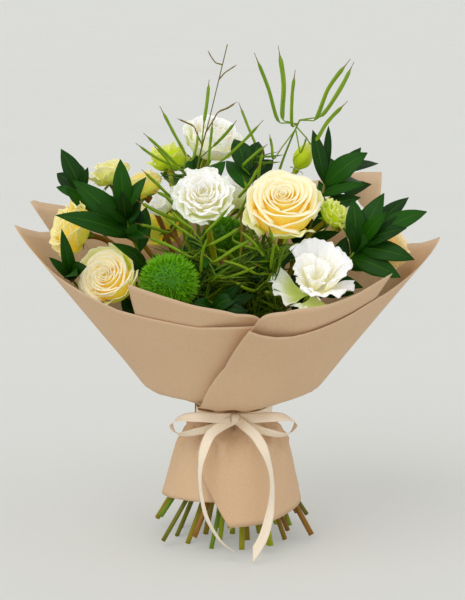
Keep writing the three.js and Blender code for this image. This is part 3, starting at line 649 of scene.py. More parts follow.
@dataclass(frozen=True)
class PithFinish(Finish):
    """A stem's cut end: pale pith, wet in places."""

    pith: Color
    wet: Color

    def lay(self, paint: Paint) -> None:
        """Mottles the pith."""
        rays = paint.mottle(paint.object_place(), 700, 0.35, 0.65)
        paint.dress(paint.blend(rays, self.pith, self.wet), 0.5, rays, 0.1)


@dataclass(frozen=True)
class KraftFinish(Finish):
    """Kraft paper: its tan, its darker fibres and the paler colour of its rims and folded edges."""

    tan: Color
    fibre: Color
    paler_edges: Color

    def lay(self, paint: Paint) -> None:
        """Lays clouds, pulp and laid fibres over the tan, and lightens the folds, where the tone is 1.

        Args:
            paint: The material's layout.
        """
        place = paint.object_place()
        pulp = paint.mottle(place, 900, 0.4, 0.66)
        laid = paint.streaks(place, 240, 1100, 0.46, 0.72)
        color = paint.wash(self.tan, self.fibre, paint.mottle(place, 14, 0.3, 0.7), 0.14)
        color = paint.wash(color, self.fibre, pulp, 0.2)
        color = paint.wash(color, self.fibre, laid, 0.16)
        # The tone, 1 at the rims and folded edges, makes them paler.
        color = paint.wash(color, self.paler_edges, paint.attribute("tone"), 0.25)
        paint.dress(color, 0.66, paint.sum("ADD", pulp, laid), 0.05, {"Specular IOR Level": 0.35})


@dataclass(frozen=True)
class SatinFinish(Finish):
    """Satin ribbon: its thread and the darker gaps between threads."""

    thread: Color
    gap: Color

    def lay(self, paint: Paint) -> None:
        """Lays fine threads along the ribbon and a darker selvedge, with a soft shine.

        Args:
            paint: The material's layout.
        """
        place, beside, _ = paint.surface_place()
        threads = paint.streaks(place, 60, 30, 0.4, 0.6)
        color = paint.wash(self.thread, self.gap, threads, 0.35)
        color = paint.wash(color, self.gap, paint.window(beside, 0.43, 0.47), 0.4)
        paint.dress(color, 0.34, threads, 0.04, {"Anisotropic": 0.4, "Sheen Weight": 0.3})


@dataclass(frozen=True)
class TwineFinish(Finish):
    """Jute twine: its fibre and the shade between its strands."""

    fibre: Color
    shadow: Color

    def lay(self, paint: Paint) -> None:
        """Lays slanting strands with loose fibres.

        Args:
            paint: The material's layout.
        """
        place = paint.object_place()
        values = {"Vector": place, "Scale": 160.0, "Distortion": 3.0}
        strands = paint.add("ShaderNodeTexWave", values, wave_type="BANDS").outputs["Fac"]
        color = paint.blend(strands, self.shadow, self.fibre)
        color = paint.wash(color, self.shadow, paint.mottle(place, 900, 0.4, 0.6), 0.4)
        paint.dress(color, 0.85, strands, 0.4)


@dataclass(frozen=True)
class FloorFinish(Finish):
    """The pale floor."""

    coat: Color

    def lay(self, paint: Paint) -> None:
        """Clouds the floor faintly and makes it glow, so that it stays even.

        Args:
            paint: The material's layout.
        """
        cloud = paint.mottle(paint.object_place(), 2, 0.3, 0.7)
        color = paint.wash(self.coat, paint.blend(1.0, self.coat, self.coat, "MULTIPLY"), cloud, 0.03)
        values = {"Specular IOR Level": 0.2, "Emission Color": color, "Emission Strength": 0.5}
        paint.dress(color, 0.85, values=values)


CREAM = PetalFinish(
    "cream petal", tint(253, 216, 52), tint(254, 234, 132), tint(254, 249, 216), tint(206, 228, 78))
BUTTER = PetalFinish(
    "butter petal", tint(248, 214, 50), tint(252, 232, 110), tint(253, 244, 176), tint(218, 226, 84))
LIME_CREAM = PetalFinish(
    "lime cream petal", tint(226, 226, 80), tint(246, 242, 160), tint(252, 248, 200), tint(206, 222, 100))
PEACH = PetalFinish(
    "peach petal", tint(246, 186, 70), tint(250, 216, 132), tint(253, 236, 184), tint(226, 214, 110))
WHITE = PetalFinish(
    "white petal", tint(244, 239, 196), tint(250, 249, 245), tint(254, 254, 253), tint(200, 222, 104), 0.45)
GREEN = PetalFinish(
    "green petal", tint(190, 218, 4), tint(222, 234, 44), tint(240, 244, 140), tint(186, 216, 24))
RUSCUS_GREEN = LeafFinish("ruscus leaf", tint(6, 34, 0), tint(28, 82, 0), tint(70, 122, 10), 0.42)
SEPAL_GREEN = LeafFinish("sepal", tint(96, 140, 22), tint(146, 182, 44), tint(168, 198, 70), 0.5)
# The dianthus's third colour is painted shade: the core and the spike parts near it are darkened towards it.
DIANTHUS_GREEN = StemFinish("dianthus spike", tint(138, 214, 0), tint(98, 172, 0), tint(66, 128, 0))
STEM_GREEN = StemFinish("stem", tint(160, 186, 0), tint(150, 140, 8), tint(136, 84, 22))
FILLER_GREEN = StemFinish("thin stem", tint(104, 144, 10), tint(112, 112, 16), tint(104, 66, 22))
POD_GREEN = PodFinish("pod", tint(146, 174, 22), tint(98, 138, 10), tint(126, 88, 34))
# Darker than the pod colours, for the tangle deep in the bouquet: painted shade.
SHADED_NEEDLE_GREEN = PodFinish("young pod", tint(118, 150, 6), tint(58, 96, 0), tint(110, 84, 24))
PITH = PithFinish("cut stem", tint(232, 226, 150), tint(186, 188, 90))
KRAFT = KraftFinish("kraft paper", tint(220, 187, 150), tint(187, 147, 107), tint(236, 211, 180))
SATIN = SatinFinish("satin ribbon", tint(253, 239, 216), tint(233, 208, 172))
JUTE = TwineFinish("jute twine", tint(176, 139, 85), tint(96, 70, 38))
FLOOR = FloorFinish("pale floor", tint(182, 183, 179))


class Palette:
    """Every finish as a material, made once."""

    def __init__(self) -> None:
        """Starts with the shared effects and no material."""
        self.effects = Effects()
        self.made: dict[str, bpy.types.Material] = {}

    def of(self, finish: Finish) -> bpy.types.Material:
        """The material of a finish.

        Args:
            finish: The finish.

        Returns:
            The material.
        """
        if finish.name not in self.made:
            self.made[finish.name] = finish.material(self.effects)
        return self.made[finish.name]


# ---------------------------------------------------------------- stems and how they are bound
class Ring(Enum):
    """The rings of stems at the tie, by spiral slope and by radius before they are pressed together."""

    CENTRE = (0.0, 0.0)
    INNER = (0.2, 8.0)
    MIDDLE = (0.42, 15.0)
    OUTER = (0.64, 22.0)


@dataclass
class Slot:
    """A stem's place in the bundle."""

    angle: float
    radius: float
    slope: float
    order: int
    thickness: float

    TIE_HEIGHT = 134.0

    def point(self, height: float) -> Vector:
        """The point of the stem's straight lower part at a height.

        Args:
            height: The height, in millimetres.

        Returns:
            The point, in millimetres.
        """
        sideways = self.slope * (height - self.TIE_HEIGHT)
        cos, sin = math.cos(self.angle), math.sin(self.angle)
        return Vector((self.radius * cos - sideways * sin, self.radius * sin + sideways * cos, height))

    def gap(self, other: "Slot") -> float:
        """The gap between this stem's straight part and another's.

        Args:
            other: The other stem's place.

        Returns:
            The gap, in millimetres.
        """
        start, away = self.point(0), other.point(0)
        normal = (self.point(self.TIE_HEIGHT) - start).cross(other.point(self.TIE_HEIGHT) - away)
        return abs((away - start).dot(normal.normalized())) - self.thickness - other.thickness


@dataclass
class Stem:
    """One cut stem: its ring, its heading, its radius, and the points that it passes above the splay."""

    name: str
    ring: Ring
    heading: float
    radius: float
    upper: list[Vector]
    slot: Slot | None = None

    SPLAY_HEIGHT = 190.0
    SPLAY_LEAD = 30.0
    OUTER_CUTS = (10.0, 22.0, 6.0, 16.0, 26.0)

    @property
    def cut(self) -> float:
        """Height of the cut end.

        Returns:
            The height, in millimetres.
        """
        if self.ring is not Ring.OUTER:
            return 0.0
        return self.OUTER_CUTS[self.slot.order % len(self.OUTER_CUTS)]

    def bend(self) -> Callable[[float], Vector]:
        """The stem's line above the splay, read at a share from 0 to 1.

        Returns:
            The line.
        """
        high = self.slot.point(self.SPLAY_HEIGHT - self.SPLAY_LEAD)
        turn = self.slot.point(self.SPLAY_HEIGHT)
        line = Bend([high, turn, *self.upper])
        start = 1 / (len(self.upper) + 1)
        return lambda share: line.point(mix(start, 1, share))

    def points(self, lower: int, upper: int) -> list[Vector]:
        """The stem's middle line.

        Args:
            lower: Steps from the cut end to the splay.
            upper: Steps above it.

        Returns:
            The points, from the cut end up.
        """
        bend = self.bend()
        straight = [self.slot.point(mix(self.cut, self.SPLAY_HEIGHT, i / lower)) for i in range(lower)]
        return straight + [bend(i / upper) for i in range(upper + 1)]


class Bundle:
    """All the stems, bound in a spiral."""

    CLEAR = 0.3
    PRESS_STEP = 0.05

    def __init__(self, stems: Sequence[Stem]) -> None:
        """Deals each ring's stems round it in the order of their headings, then presses them together.

        Args:
            stems: Every stem of the bouquet.
        """
        self.stems = {stem.name: stem for stem in stems}
        pressed: list[Slot] = []
        for ring in Ring:
            slope, radius = ring.value
            members = sorted((stem for stem in stems if stem.ring is ring), key=lambda stem: stem.heading)
            step = 2 * math.pi / len(members)
            drift = sum(stem.heading - i * step for i, stem in enumerate(members)) / len(members)
            lag = math.atan2(slope * (Stem.SPLAY_HEIGHT - Slot.TIE_HEIGHT), radius)
            for i, stem in enumerate(members):
                stem.slot = Slot(drift + i * step - lag, radius, slope, i, stem.radius)
                self._press(stem.slot, pressed)
                pressed.append(stem.slot)

    def _press(self, slot: Slot, pressed: Sequence[Slot]) -> None:
        """Moves a stem inwards until it meets another.

        Args:
            slot: The stem's place, which is changed.
            pressed: The places of the stems that are bound.
        """
        while slot.radius > 0:
            slot.radius -= self.PRESS_STEP
            if any(slot.gap(other) < self.CLEAR for other in pressed):
                slot.radius += self.PRESS_STEP
                return


# ---------------------------------------------------------------- blooms
@dataclass(frozen=True)
class Whorl:
    """One whorl of petals. Lengths are shares of the bloom's half width, angles are in radians.

    Attributes:
        count: Petals in the whorl.
        line: The petals' middle line from base to lip, as (distance from the axis, height).
        spread: Half the angle that a petal spans.
        tone: 0 for the heart, 1 for the outermost petals.
        lip: Length of the rim that rolls outwards.
        curl: How far it rolls, in the middle of a petal and at its sides.
        ruffle: Height of the rim's waves.
        lean: How far one side stands out over the next petal.
        drop: How much shorter a petal is at its sides.
        start: Angle of the first petal.
    """

    count: int
    line: Pairs
    spread: float
    tone: float
    lip: float = 0.1
    curl: tuple[float, float] = (0.3, 0.6)
    ruffle: float = 0.0
    lean: float = 0.1
    drop: float = 0.1
    start: float = 0.0


@dataclass(frozen=True)
class Bloom:
    """A bloom on its stem: where its centre is, which way it faces, and its width."""

    name: str
    centre: Place
    turn: float
    tilt: float
    width: float
    ring: Ring
    finish: Finish
    seed: int

    WIDE = 50.0
    STEM_RADIUS = 2.95
    SHOOT_RADIUS = 2.6
    NECK = 26.0
    SEAT = 0.3
    CUP = 5.5
    WIDEST = 75.0
    FOOT_SHARE = 0.5
    SLOT = "white_petal"
    SEPALS = 5
    SEPAL_LENGTH = 0.5
    BLADE = 0.6
    TIP = 0.25
    WAVES = 2.2
    CRINKLE = 0.0
    COLUMNS = 16
    ROWS = 15
    THICKNESS = 0.5
    STEM_SEEDS = 100
    STEM_STEPS = (20, 22)
    JOINTS = 9
    JOINT_GAP = 46.0
    JOINT_LENGTH = 4.0
    WHORLS: ClassVar[Sequence[Whorl]] = ()

    @property
    def direction(self) -> Vector:
        """The way that the bloom faces."""
        return facing(self.turn, self.tilt)

    @property
    def foot(self) -> Vector:
        """The place where the petals begin."""
        return mm(self.centre) - self.direction * (self.FOOT_SHARE * self.width / 2)

    @property
    def axes(self) -> Quaternion:
        """The turn that points local Z the way that the bloom faces."""
        return Vector((0, 0, 1)).rotation_difference(self.direction)

    @property
    def seat(self) -> float:
        """The distance from the foot to the stem's top."""
        return self.SEAT

    def stem(self) -> Stem:
        """The bloom's stem before it has its place in the bundle.

        Returns:
            The stem.
        """
        top = self.foot - self.direction * self.seat
        below = top - self.direction * self.NECK
        radius = self.STEM_RADIUS if self.width > self.WIDE else self.SHOOT_RADIUS
        heading = math.atan2(self.centre[1], self.centre[0])
        return Stem(self.name, self.ring, heading, radius, [below, top])

    def whorls(self) -> Sequence[Whorl]:
        """The whorls of petals, from the heart outwards."""
        return self.WHORLS

    def petal(self, piece: Piece, whorl: Whorl, index: int, luck: random.Random) -> None:
        """Adds one petal.

        Args:
            piece: The mesh that takes it.
            whorl: The petal's whorl.
            index: Its number in the whorl.
            luck: Seeded draws for small differences.
        """
        half = self.width / 2
        line = Bend([Vector((reach, height, 0)) for reach, height in whorl.line])
        middle = whorl.start + 2 * math.pi * index / whorl.count + luck.uniform(-0.12, 0.12)
        spread = whorl.spread * luck.uniform(0.94, 1.06)
        tall = luck.uniform(0.97, 1.03)
        rolled = luck.uniform(0.75, 1.2)
        draw = luck.uniform(0, 90)
        foot, axes = self.foot, self.axes

        def surface(u: float, v: float) -> Vector:
            """The petal from its left to its right side and from its base to its rim.

            Args:
                u: The place across, from 0 to 1.
                v: The place along, from 0 to 1.

            Returns:
                The point, in millimetres.
            """
            side = 2 * u - 1
            reach = min(v / self.BLADE, 1) * (1 - whorl.drop * abs(side) ** 2.4)
            over = max(v - self.BLADE, 0) / (1 - self.BLADE)
            at, before = line.point(reach), line.point(reach - 0.04)
            rising = math.atan2(at.y - before.y, at.x - before.x)
            full = mix(*whorl.curl, side * side) * rolled
            turned = rising - full * over
            ragged = whorl.ruffle * 2 * wave(side * 9, draw, 0)
            lip = whorl.lip * (1 + self.TIP * (1 - abs(side)) ** 2 + ragged)
            rib = self.CRINKLE * ease(v, 0.1, 0.7) * wave(side * 6, draw + 5, v * 0.8)
            flutter = wave(side * self.WAVES, draw, v) + 0.4 * wave(side * self.WAVES * 3, v * 2, draw)
            edge = ease(v, 0.4, 1)
            out = at.x + lip * (math.sin(rising) - math.sin(turned)) / full
            out *= 1 + whorl.lean * side * ease(v, 0.1, 0.6)
            out += whorl.ruffle * edge * flutter
            out -= rib * math.sin(turned)
            height = at.y * tall + lip * (math.cos(turned) - math.cos(rising)) / full
            height += whorl.ruffle * edge * wave(side * self.WAVES * 1.3, draw + 9, v)
            height += rib * math.cos(turned)
            angle = middle + side * spread * (0.62 + 0.38 * ease(v, 0, 0.55))
            local = Vector((out * math.cos(angle), out * math.sin(angle), height)) * half
            return foot + axes @ local

        piece.sheet(self.COLUMNS, self.ROWS, surface, whorl.tone, luck.random())

    def build(self, palette: Palette) -> None:
        """Makes the petals and dresses them.

        Args:
            palette: The finishes.
        """
        piece = Piece(f"{self.name}_petals")
        luck = random.Random(self.seed)
        for whorl in self.whorls():
            for index in range(whorl.count):
                self.petal(piece, whorl, index, luck)
        piece.finish(self.SLOT, [palette.of(self.finish)], [self.name], thickness=self.THICKNESS)

    def build_stem(self, stem: Stem, palette: Palette) -> None:
        """Makes the stem with its joints, its cut end and the swelling under the bloom.

        Args:
            stem: The stem in its place in the bundle.
            palette: The finishes.
        """
        piece = Piece(f"{self.name}_stalk")
        luck = random.Random(self.seed + self.STEM_SEEDS)
        points = stem.points(*self.STEM_STEPS)
        cup = mix(stem.radius, self.CUP, self.width / self.WIDEST) if self.SEPALS else stem.radius
        top = points[-1]
        for share in (0.75, 0.5, 0.25):
            points.insert(-1, top - self.direction * (cup * share + 0.02))
        joints = [luck.uniform(24, 60) + self.JOINT_GAP * i for i in range(self.JOINTS)]
        radii, tones, walked = [], [], 0.0
        for index, point in enumerate(points):
            walked += (point - points[index - 1]).length if index else 0.0
            near = max(math.exp(-((walked - joint) / self.JOINT_LENGTH) ** 2) for joint in joints)
            swell = ease(cup * 1.6 - (top - point).length, 0, cup * 1.6)
            radii.append(mix(stem.radius * (0.94 + 0.12 * near), cup, swell))
            tones.append(0.7 * near + 0.3 * ease(walked, 60, 0))
        shade = luck.random()
        piece.tube(points, radii, 12, lambda u, v: tones[round(v * (len(points) - 1))], shade, cut_slot=1)
        materials = [palette.of(STEM_GREEN), palette.of(PITH)]
        piece.finish("stem", materials, [f"{self.name}_stem"])
        if self.SEPALS:
            self.build_sepals(palette, luck)

    def build_sepals(self, palette: Palette, luck: random.Random) -> None:
        """Makes the sepals, which lie along the underside of the bloom.

        Args:
            palette: The finishes.
            luck: Seeded draws for small differences.
        """
        piece = Piece(f"{self.name}_sepals")
        half = self.width / 2
        foot, axes = self.foot, self.axes
        length = self.SEPAL_LENGTH * half
        for index in range(self.SEPALS):
            middle = 2 * math.pi * (index + luck.uniform(-0.1, 0.1)) / self.SEPALS
            lift = luck.uniform(0.1, 0.5)

            def surface(u: float, v: float) -> Vector:
                """A sepal from side to side and from its foot to its point.

                Args:
                    u: The place across, from 0 to 1.
                    v: The place along, from 0 to 1.

                Returns:
                    The point, in millimetres.
                """
                wide = 0.16 * length * (0.4 + math.sin(math.pi * min(v * 0.9 + 0.1, 1)) * 0.9) * (1 - v ** 3)
                out = 3.5 + v * length * 0.94
                height = -1.2 + length * (0.12 - lift * v * v * 0.9)
                side = (2 * u - 1) * wide
                return foot + axes @ Vector((
                    out * math.cos(middle) - side * math.sin(middle),
                    out * math.sin(middle) + side * math.cos(middle), height + 0.18 * abs(side)))

            piece.sheet(4, 9, surface, 0, luck.random())
        piece.finish("stem", [palette.of(SEPAL_GREEN)], [f"{self.name}_stem"], thickness=self.THICKNESS)


@dataclass(frozen=True)
class Rose(Bloom):
    """A garden rose: a furled heart in widening whorls, the outer petals rolled back."""

    FOOT_SHARE = 0.62
    SLOT = "rose_petal"
    TIP = 0.5
    WHORLS = (
        Whorl(2, ((0.02, 0.3), (0.06, 0.75), (0.07, 0.98)), 2.3, 0.0, 0.08, (0.5, 0.9), 0.0, 0.3, 0.03),
        Whorl(3, ((0.04, 0.25), (0.14, 0.62), (0.15, 1.0)), 1.6, 0.05, 0.09, (0.7, 1.2), 0.0, 0.22, 0.05),
        Whorl(3, ((0.05, 0.2), (0.22, 0.55), (0.24, 1.0)), 1.5, 0.1, 0.1, (0.8, 1.4), 0.0, 0.2, 0.06, 0.6),
        Whorl(4, ((0.05, 0.2), (0.34, 0.5), (0.35, 0.98)),
              1.25, 0.18, 0.13, (0.9, 1.6), 0.0, 0.17, 0.08, 0.2),
        Whorl(4, ((0.06, 0.15), (0.46, 0.42), (0.47, 0.92)), 1.2, 0.3, 0.18, (1.0, 1.9), 0.0, 0.15, 0.1, 0.9),
        Whorl(4, ((0.07, 0.08), (0.6, 0.36), (0.61, 0.84)),
              1.12, 0.42, 0.22, (1.1, 2.3), 0.02, 0.13, 0.14, 0.1),
        Whorl(5, ((0.08, 0.04), (0.7, 0.24), (0.74, 0.64)),
              0.92, 0.56, 0.25, (1.2, 2.6), 0.04, 0.1, 0.18, 0.5),
        Whorl(4, ((0.08, 0.02), (0.72, 0.12), (0.83, 0.38)),
              0.7, 1.0, 0.22, (0.8, 2.0), 0.14, 0.08, 0.2, -1.2),
    )


@dataclass(frozen=True)
class GuardedRose(Rose):
    """A rose with its last whorls replaced by guard petals, which stand round one side."""

    GUARD = ((0.08, 0.04), (0.72, 0.3), (0.86, 0.72))
    WHORLS = (
        *Rose.WHORLS[:-2],
        Whorl(3, ((0.08, 0.05), (0.62, 0.3), (0.67, 0.82)),
              1.1, 0.5, 0.22, (0.9, 1.8), 0.05, 0.12, 0.14, 1.0),
        Whorl(1, GUARD, 0.95, 0.95, 0.24, (0.3, 1.1), 0.1, 0.1, 0.12, 1.5),
        Whorl(1, GUARD, 0.95, 1.0, 0.24, (0.3, 1.1), 0.1, 0.1, 0.12, 0.3),
        Whorl(1, GUARD, 0.95, 1.0, 0.2, (0.5, 1.5), 0.1, 0.1, 0.12, -0.9),
        Whorl(1, ((0.08, 0.02), (0.72, 0.12), (0.83, 0.38)), 0.8, 0.8, 0.22, (0.8, 2.0), 0.1, 0.08, 0.2, 2.9),
    )


@dataclass(frozen=True)
class Lisianthus(Bloom):
    """A lisianthus, with thin crinkled petals."""

    TIP = 0.1
    WAVES = 2.8
    CRINKLE = 0.018
    COLUMNS = 30


@dataclass(frozen=True)
class Double(Lisianthus):
    """A double lisianthus: ruffled petals, spread further the more it is open."""

    open: float

    def whorls(self) -> Sequence[Whorl]:
        """The whorls of the bloom, from the heart outwards.

        Returns:
            The whorls.
        """
        tall = mix(1.26, 0.9, self.open)
        wide = mix(0.98, 0.92, self.open)
        flare = mix(0.4, 1.0, self.open)
        ruffle = mix(0.0, 0.12, self.open)
        return (
            Whorl(3, ((0.03, 0.25), (0.13, tall * 0.6), (0.15, tall * 0.93)), 1.5, 0.0, 0.1,
                  (0.2, 0.5), 0.3 * ruffle, 0.24, 0.05),
            Whorl(3, ((0.05, 0.2), (0.24, tall * 0.5), (0.3, tall * 0.94)), 1.4, 0.1, 0.13,
                  (0.5 * flare, 1.0 * flare), 0.5 * ruffle, 0.2, 0.06, 0.6),
            Whorl(4, ((0.06, 0.12), (0.36, tall * 0.38), (wide * 0.5, tall * 0.84)), 1.15, 0.25, 0.17,
                  (0.6 * flare, 1.2 * flare), 0.7 * ruffle, 0.14, 0.07, 0.2),
            Whorl(5, ((0.07, 0.06), (wide * 0.6, tall * 0.26), (wide * 0.7, tall * 0.7)), 0.95, 0.45, 0.23,
                  (0.7 * flare, 1.3 * flare), ruffle, 0.12, 0.1, 0.7),
            Whorl(5, ((0.07, 0.04), (wide * 0.7, tall * 0.14), (wide * 0.88, tall * 0.46)), 0.86, 0.8, 0.25,
                  (0.6 * flare, 1.1 * flare), ruffle, 0.1, 0.12, 0.1),
        )


@dataclass(frozen=True)
class Trumpet(Lisianthus):
    """A lisianthus with a few broad crinkled petals that stand like a fan, over a green guard petal."""

    SEPAL_LENGTH = 0.25
    CRINKLE = 0.13
    COLUMNS = 46
    BACK = ((0.06, 0.08), (0.42, 0.4), (0.58, 0.78))
    WHORLS = (
        Whorl(2, ((0.02, 0.02), (0.14, 0.34), (0.24, 0.66)), 1.6, 0.1, 0.26, (0.3, 0.8), 0.04, 0.4, 0.1, 0.6),
        Whorl(1, ((0.05, 0.1), (0.3, 0.4), (0.4, 0.76)), 1.1, 0.15, 0.3, (0.4, 0.8), 0.06, 0.3, 0.12, 2.6),
        Whorl(1, BACK, 1.15, 0.2, 0.46, (0.3, 0.6), 0.08, 0.16, 0.14, 1.5),
        Whorl(1, BACK, 1.15, 0.25, 0.44, (0.4, 0.8), 0.08, 0.16, 0.14, 0.15),
        Whorl(1, ((0.05, 0.1), (0.4, 0.34), (0.6, 0.52)), 1.2, 0.3, 0.36, (0.4, 0.9), 0.08, 0.2, 0.14, 5.2),
        Whorl(1, ((0.05, 0.1), (0.3, 0.3), (0.42, 0.46)), 0.9, 0.4, 0.26, (0.5, 1.0), 0.08, 0.2, 0.14, 3.9),
        Whorl(1, ((0.07, 0.02), (0.56, 0.1), (0.88, 0.3)), 0.7, 1.0, 0.36, (0.2, 0.7), 0.14, 0.1, 0.14, 3.45),
        Whorl(1, ((0.07, 0.02), (0.6, 0.06), (0.8, 0.2)), 0.8, 0.9, 0.3, (0.6, 1.1), 0.14, 0.1, 0.14, 4.9),
    )


@dataclass(frozen=True)
class GreenBloom(Lisianthus):
    """A young lisianthus that is still green, with few and deeply ruffled petals."""

    SLOT = "green_petal"
    CRINKLE = 0.06
    WHORLS = (
        Whorl(3, ((0.03, 0.25), (0.12, 0.6), (0.14, 1.0)), 1.5, 0.1, 0.12, (0.3, 0.6), 0.08, 0.3, 0.05),
        Whorl(3, ((0.05, 0.2), (0.3, 0.5), (0.42, 1.0)), 1.2, 0.3, 0.2, (0.6, 1.1), 0.18, 0.2, 0.08, 0.7),
        Whorl(4, ((0.06, 0.1), (0.5, 0.3), (0.64, 0.82)), 1.0, 0.5, 0.28, (0.8, 1.4), 0.22, 0.16, 0.12, 0.2),
        Whorl(4, ((0.07, 0.04), (0.6, 0.14), (0.78, 0.46)),
              0.8, 0.8, 0.28, (0.8, 1.6), 0.22, 0.14, 0.14, 0.9),
    )


@dataclass(frozen=True)
class Bud(Bloom):
    """A closed lisianthus bud, its petals furled into a point."""

    FOOT_SHARE = 1.4
    SLOT = "green_petal"
    TWIST = 1.4
    SIDE = ((0.22, 0.0), (0.72, 0.6), (0.88, 1.15), (0.72, 1.9), (0.38, 2.5), (0.1, 2.95))
    WHORLS = (Whorl(5, SIDE, 0.85, 0.4, lean=0.12, drop=0.03),)

    def petal(self, piece: Piece, whorl: Whorl, index: int, luck: random.Random) -> None:
        """Adds one petal, twisted along its length.

        Args:
            piece: The mesh that takes it.
            whorl: The petal's whorl.
            index: Its number in the whorl.
            luck: Seeded draws for small differences.
        """
        half = self.width / 2
        line = Bend([Vector((reach, height, 0)) for reach, height in whorl.line])
        middle = 2 * math.pi * index / whorl.count
        foot, axes = self.foot, self.axes

        def surface(u: float, v: float) -> Vector:
            """The petal from side to side and from its base to its tip.

            Args:
                u: The place across, from 0 to 1.
                v: The place along, from 0 to 1.

            Returns:
                The point, in millimetres.
            """
            side = 2 * u - 1
            at = line.point(v * (1 - whorl.drop * side * side))
            out = at.x * (1 + whorl.lean * side) * half
            angle = middle + side * whorl.spread + self.TWIST * v
            return foot + axes @ Vector((out * math.cos(angle), out * math.sin(angle), at.y * half))

        piece.sheet(8, 14, surface, whorl.tone, luck.random())


@dataclass(frozen=True)
class Dianthus(Bloom):
    """A green dianthus: a ball of fine spikes."""

    FOOT_SHARE = 0.0
    SLOT = "dianthus_green"
    SEPALS = 0
    CORE = 0.8
    ROOTS = 0.7
    # Share of the half width within which the spikes are darkened: painted shade deep in the ball.
    PAINTED_SHADE_SHARE = 0.85
    SPIKES = 1500
    SPIKE_SIDES = 3
    SPIKE_RADII = (0.75, 0.15)
    GOLDEN = math.pi * (3 - math.sqrt(5))

    @property
    def seat(self) -> float:
        """The stem ends at the ball's core."""
        return self.CORE * self.width / 2 + self.SEAT

    def build(self, palette: Palette) -> None:
        """Makes the core and the spikes and dresses them.

        Args:
            palette: The finishes.
        """
        piece = Piece(f"{self.name}_spikes")
        luck = random.Random(self.seed)
        half = self.width / 2
        middle = placed(mm(self.centre))
        core = bmesh.ops.create_icosphere(
            piece.mesh, subdivisions=3, radius=self.CORE * half * MM, matrix=Matrix.Translation(middle),
            calc_uvs=True)["verts"]
        # The core takes the darkest colour and tone: painted shade.
        for vert in core:
            vert[piece.tone] = 1.0
            vert[piece.shade] = 0.9
        broad, fine = self.SPIKE_RADII
        for index in range(self.SPIKES):
            height = 1 - 2 * (index + 0.5) / self.SPIKES
            level = math.sqrt(1 - height * height)
            angle = self.GOLDEN * index
            out = Vector((level * math.cos(angle), level * math.sin(angle), height))
            out += stray(luck, 0.13)
            out.normalize()
            root = middle + out * (half * self.ROOTS * MM)
            lean = (out + stray(luck, 0.22)).normalized()
            length = half * luck.uniform(0.26, 0.36) * MM
            turn = Vector((0, 0, 1)).rotation_difference(lean).to_matrix().to_4x4()
            place = Matrix.Translation(root + lean * (length / 2)) @ turn
            spike = bmesh.ops.create_cone(
                piece.mesh, cap_ends=True, segments=self.SPIKE_SIDES, radius1=broad * MM,
                radius2=fine * MM, depth=length, matrix=place, calc_uvs=True)["verts"]
            shade = luck.random() * 0.5
            # Spike parts near the core get tone 0.9: painted shade.
            for vert in spike:
                inner = (vert.co - middle).length < (half * self.PAINTED_SHADE_SHARE * MM)
                vert[piece.tone] = 0.9 if inner else 0.0
                vert[piece.shade] = shade
        piece.finish(self.SLOT, [palette.of(self.finish)], [self.name])


# ---------------------------------------------------------------- foliage
FRONT = Vector((0, -0.985, 0.174))
PAPER_TOP = 330.0
PAPER_GAP = 9.0


def keeps_clear(point: Vector, blooms: Sequence[Bloom], share: float) -> bool:
    """Whether a point is outside every bloom and inside the paper.

    Args:
        point: The point, in millimetres.
        blooms: The blooms.
        share: The share of each bloom's half width to keep clear.

    Returns:
        True if it is clear.
    """
    if any((point - mm(bloom.centre)).length < share * bloom.width / 2 for bloom in blooms):
        return False
    angle = math.degrees(math.atan2(point.y / Wrap.DEPTH_SHARE, point.x))
    limit = Wrap.CONE_RADIUS + Wrap.slope(angle) * (point.z - Wrap.CONE_START) - PAPER_GAP
    return point.z > PAPER_TOP or math.hypot(point.x, point.y / Wrap.DEPTH_SHARE) < limit


@dataclass(frozen=True)
class Plant:
    """A stem of foliage: its name, its ring at the tie, and the points that it passes above the splay."""

    name: str
    ring: Ring
    via: Sequence[Place]

    RADIUS = 2.2
    LOWER_STEPS = 16
    TAPER_STEPS = 22

    def stem(self) -> Stem:
        """The stem before it has its place in the bundle."""
        heading = math.atan2(self.via[-1][1], self.via[-1][0])
        return Stem(self.name, self.ring, heading, self.RADIUS, [mm(point) for point in self.via])

    def stalk(
        self, stem: Stem, steps: int, end: float, tone: Tone, shade: float, palette: Palette,
    ) -> None:
        """Makes the stem.

        Args:
            stem: The stem in its place in the bundle.
            steps: Steps above the splay.
            end: Its radius at the top.
            tone: The tone attribute.
            shade: The shade attribute.
            palette: The finishes.
        """
        points = stem.points(self.LOWER_STEPS, steps)
        radii = [
            mix(self.RADIUS, end, min(max(i - self.LOWER_STEPS, 0) / self.TAPER_STEPS, 1))
            for i in range(len(points))]
        piece = Piece(f"{self.name}_stalk")
        piece.tube(points, radii, 10, tone, shade, cut_slot=1)
        piece.finish("stem", [palette.of(FILLER_GREEN), palette.of(PITH)], [self.name])


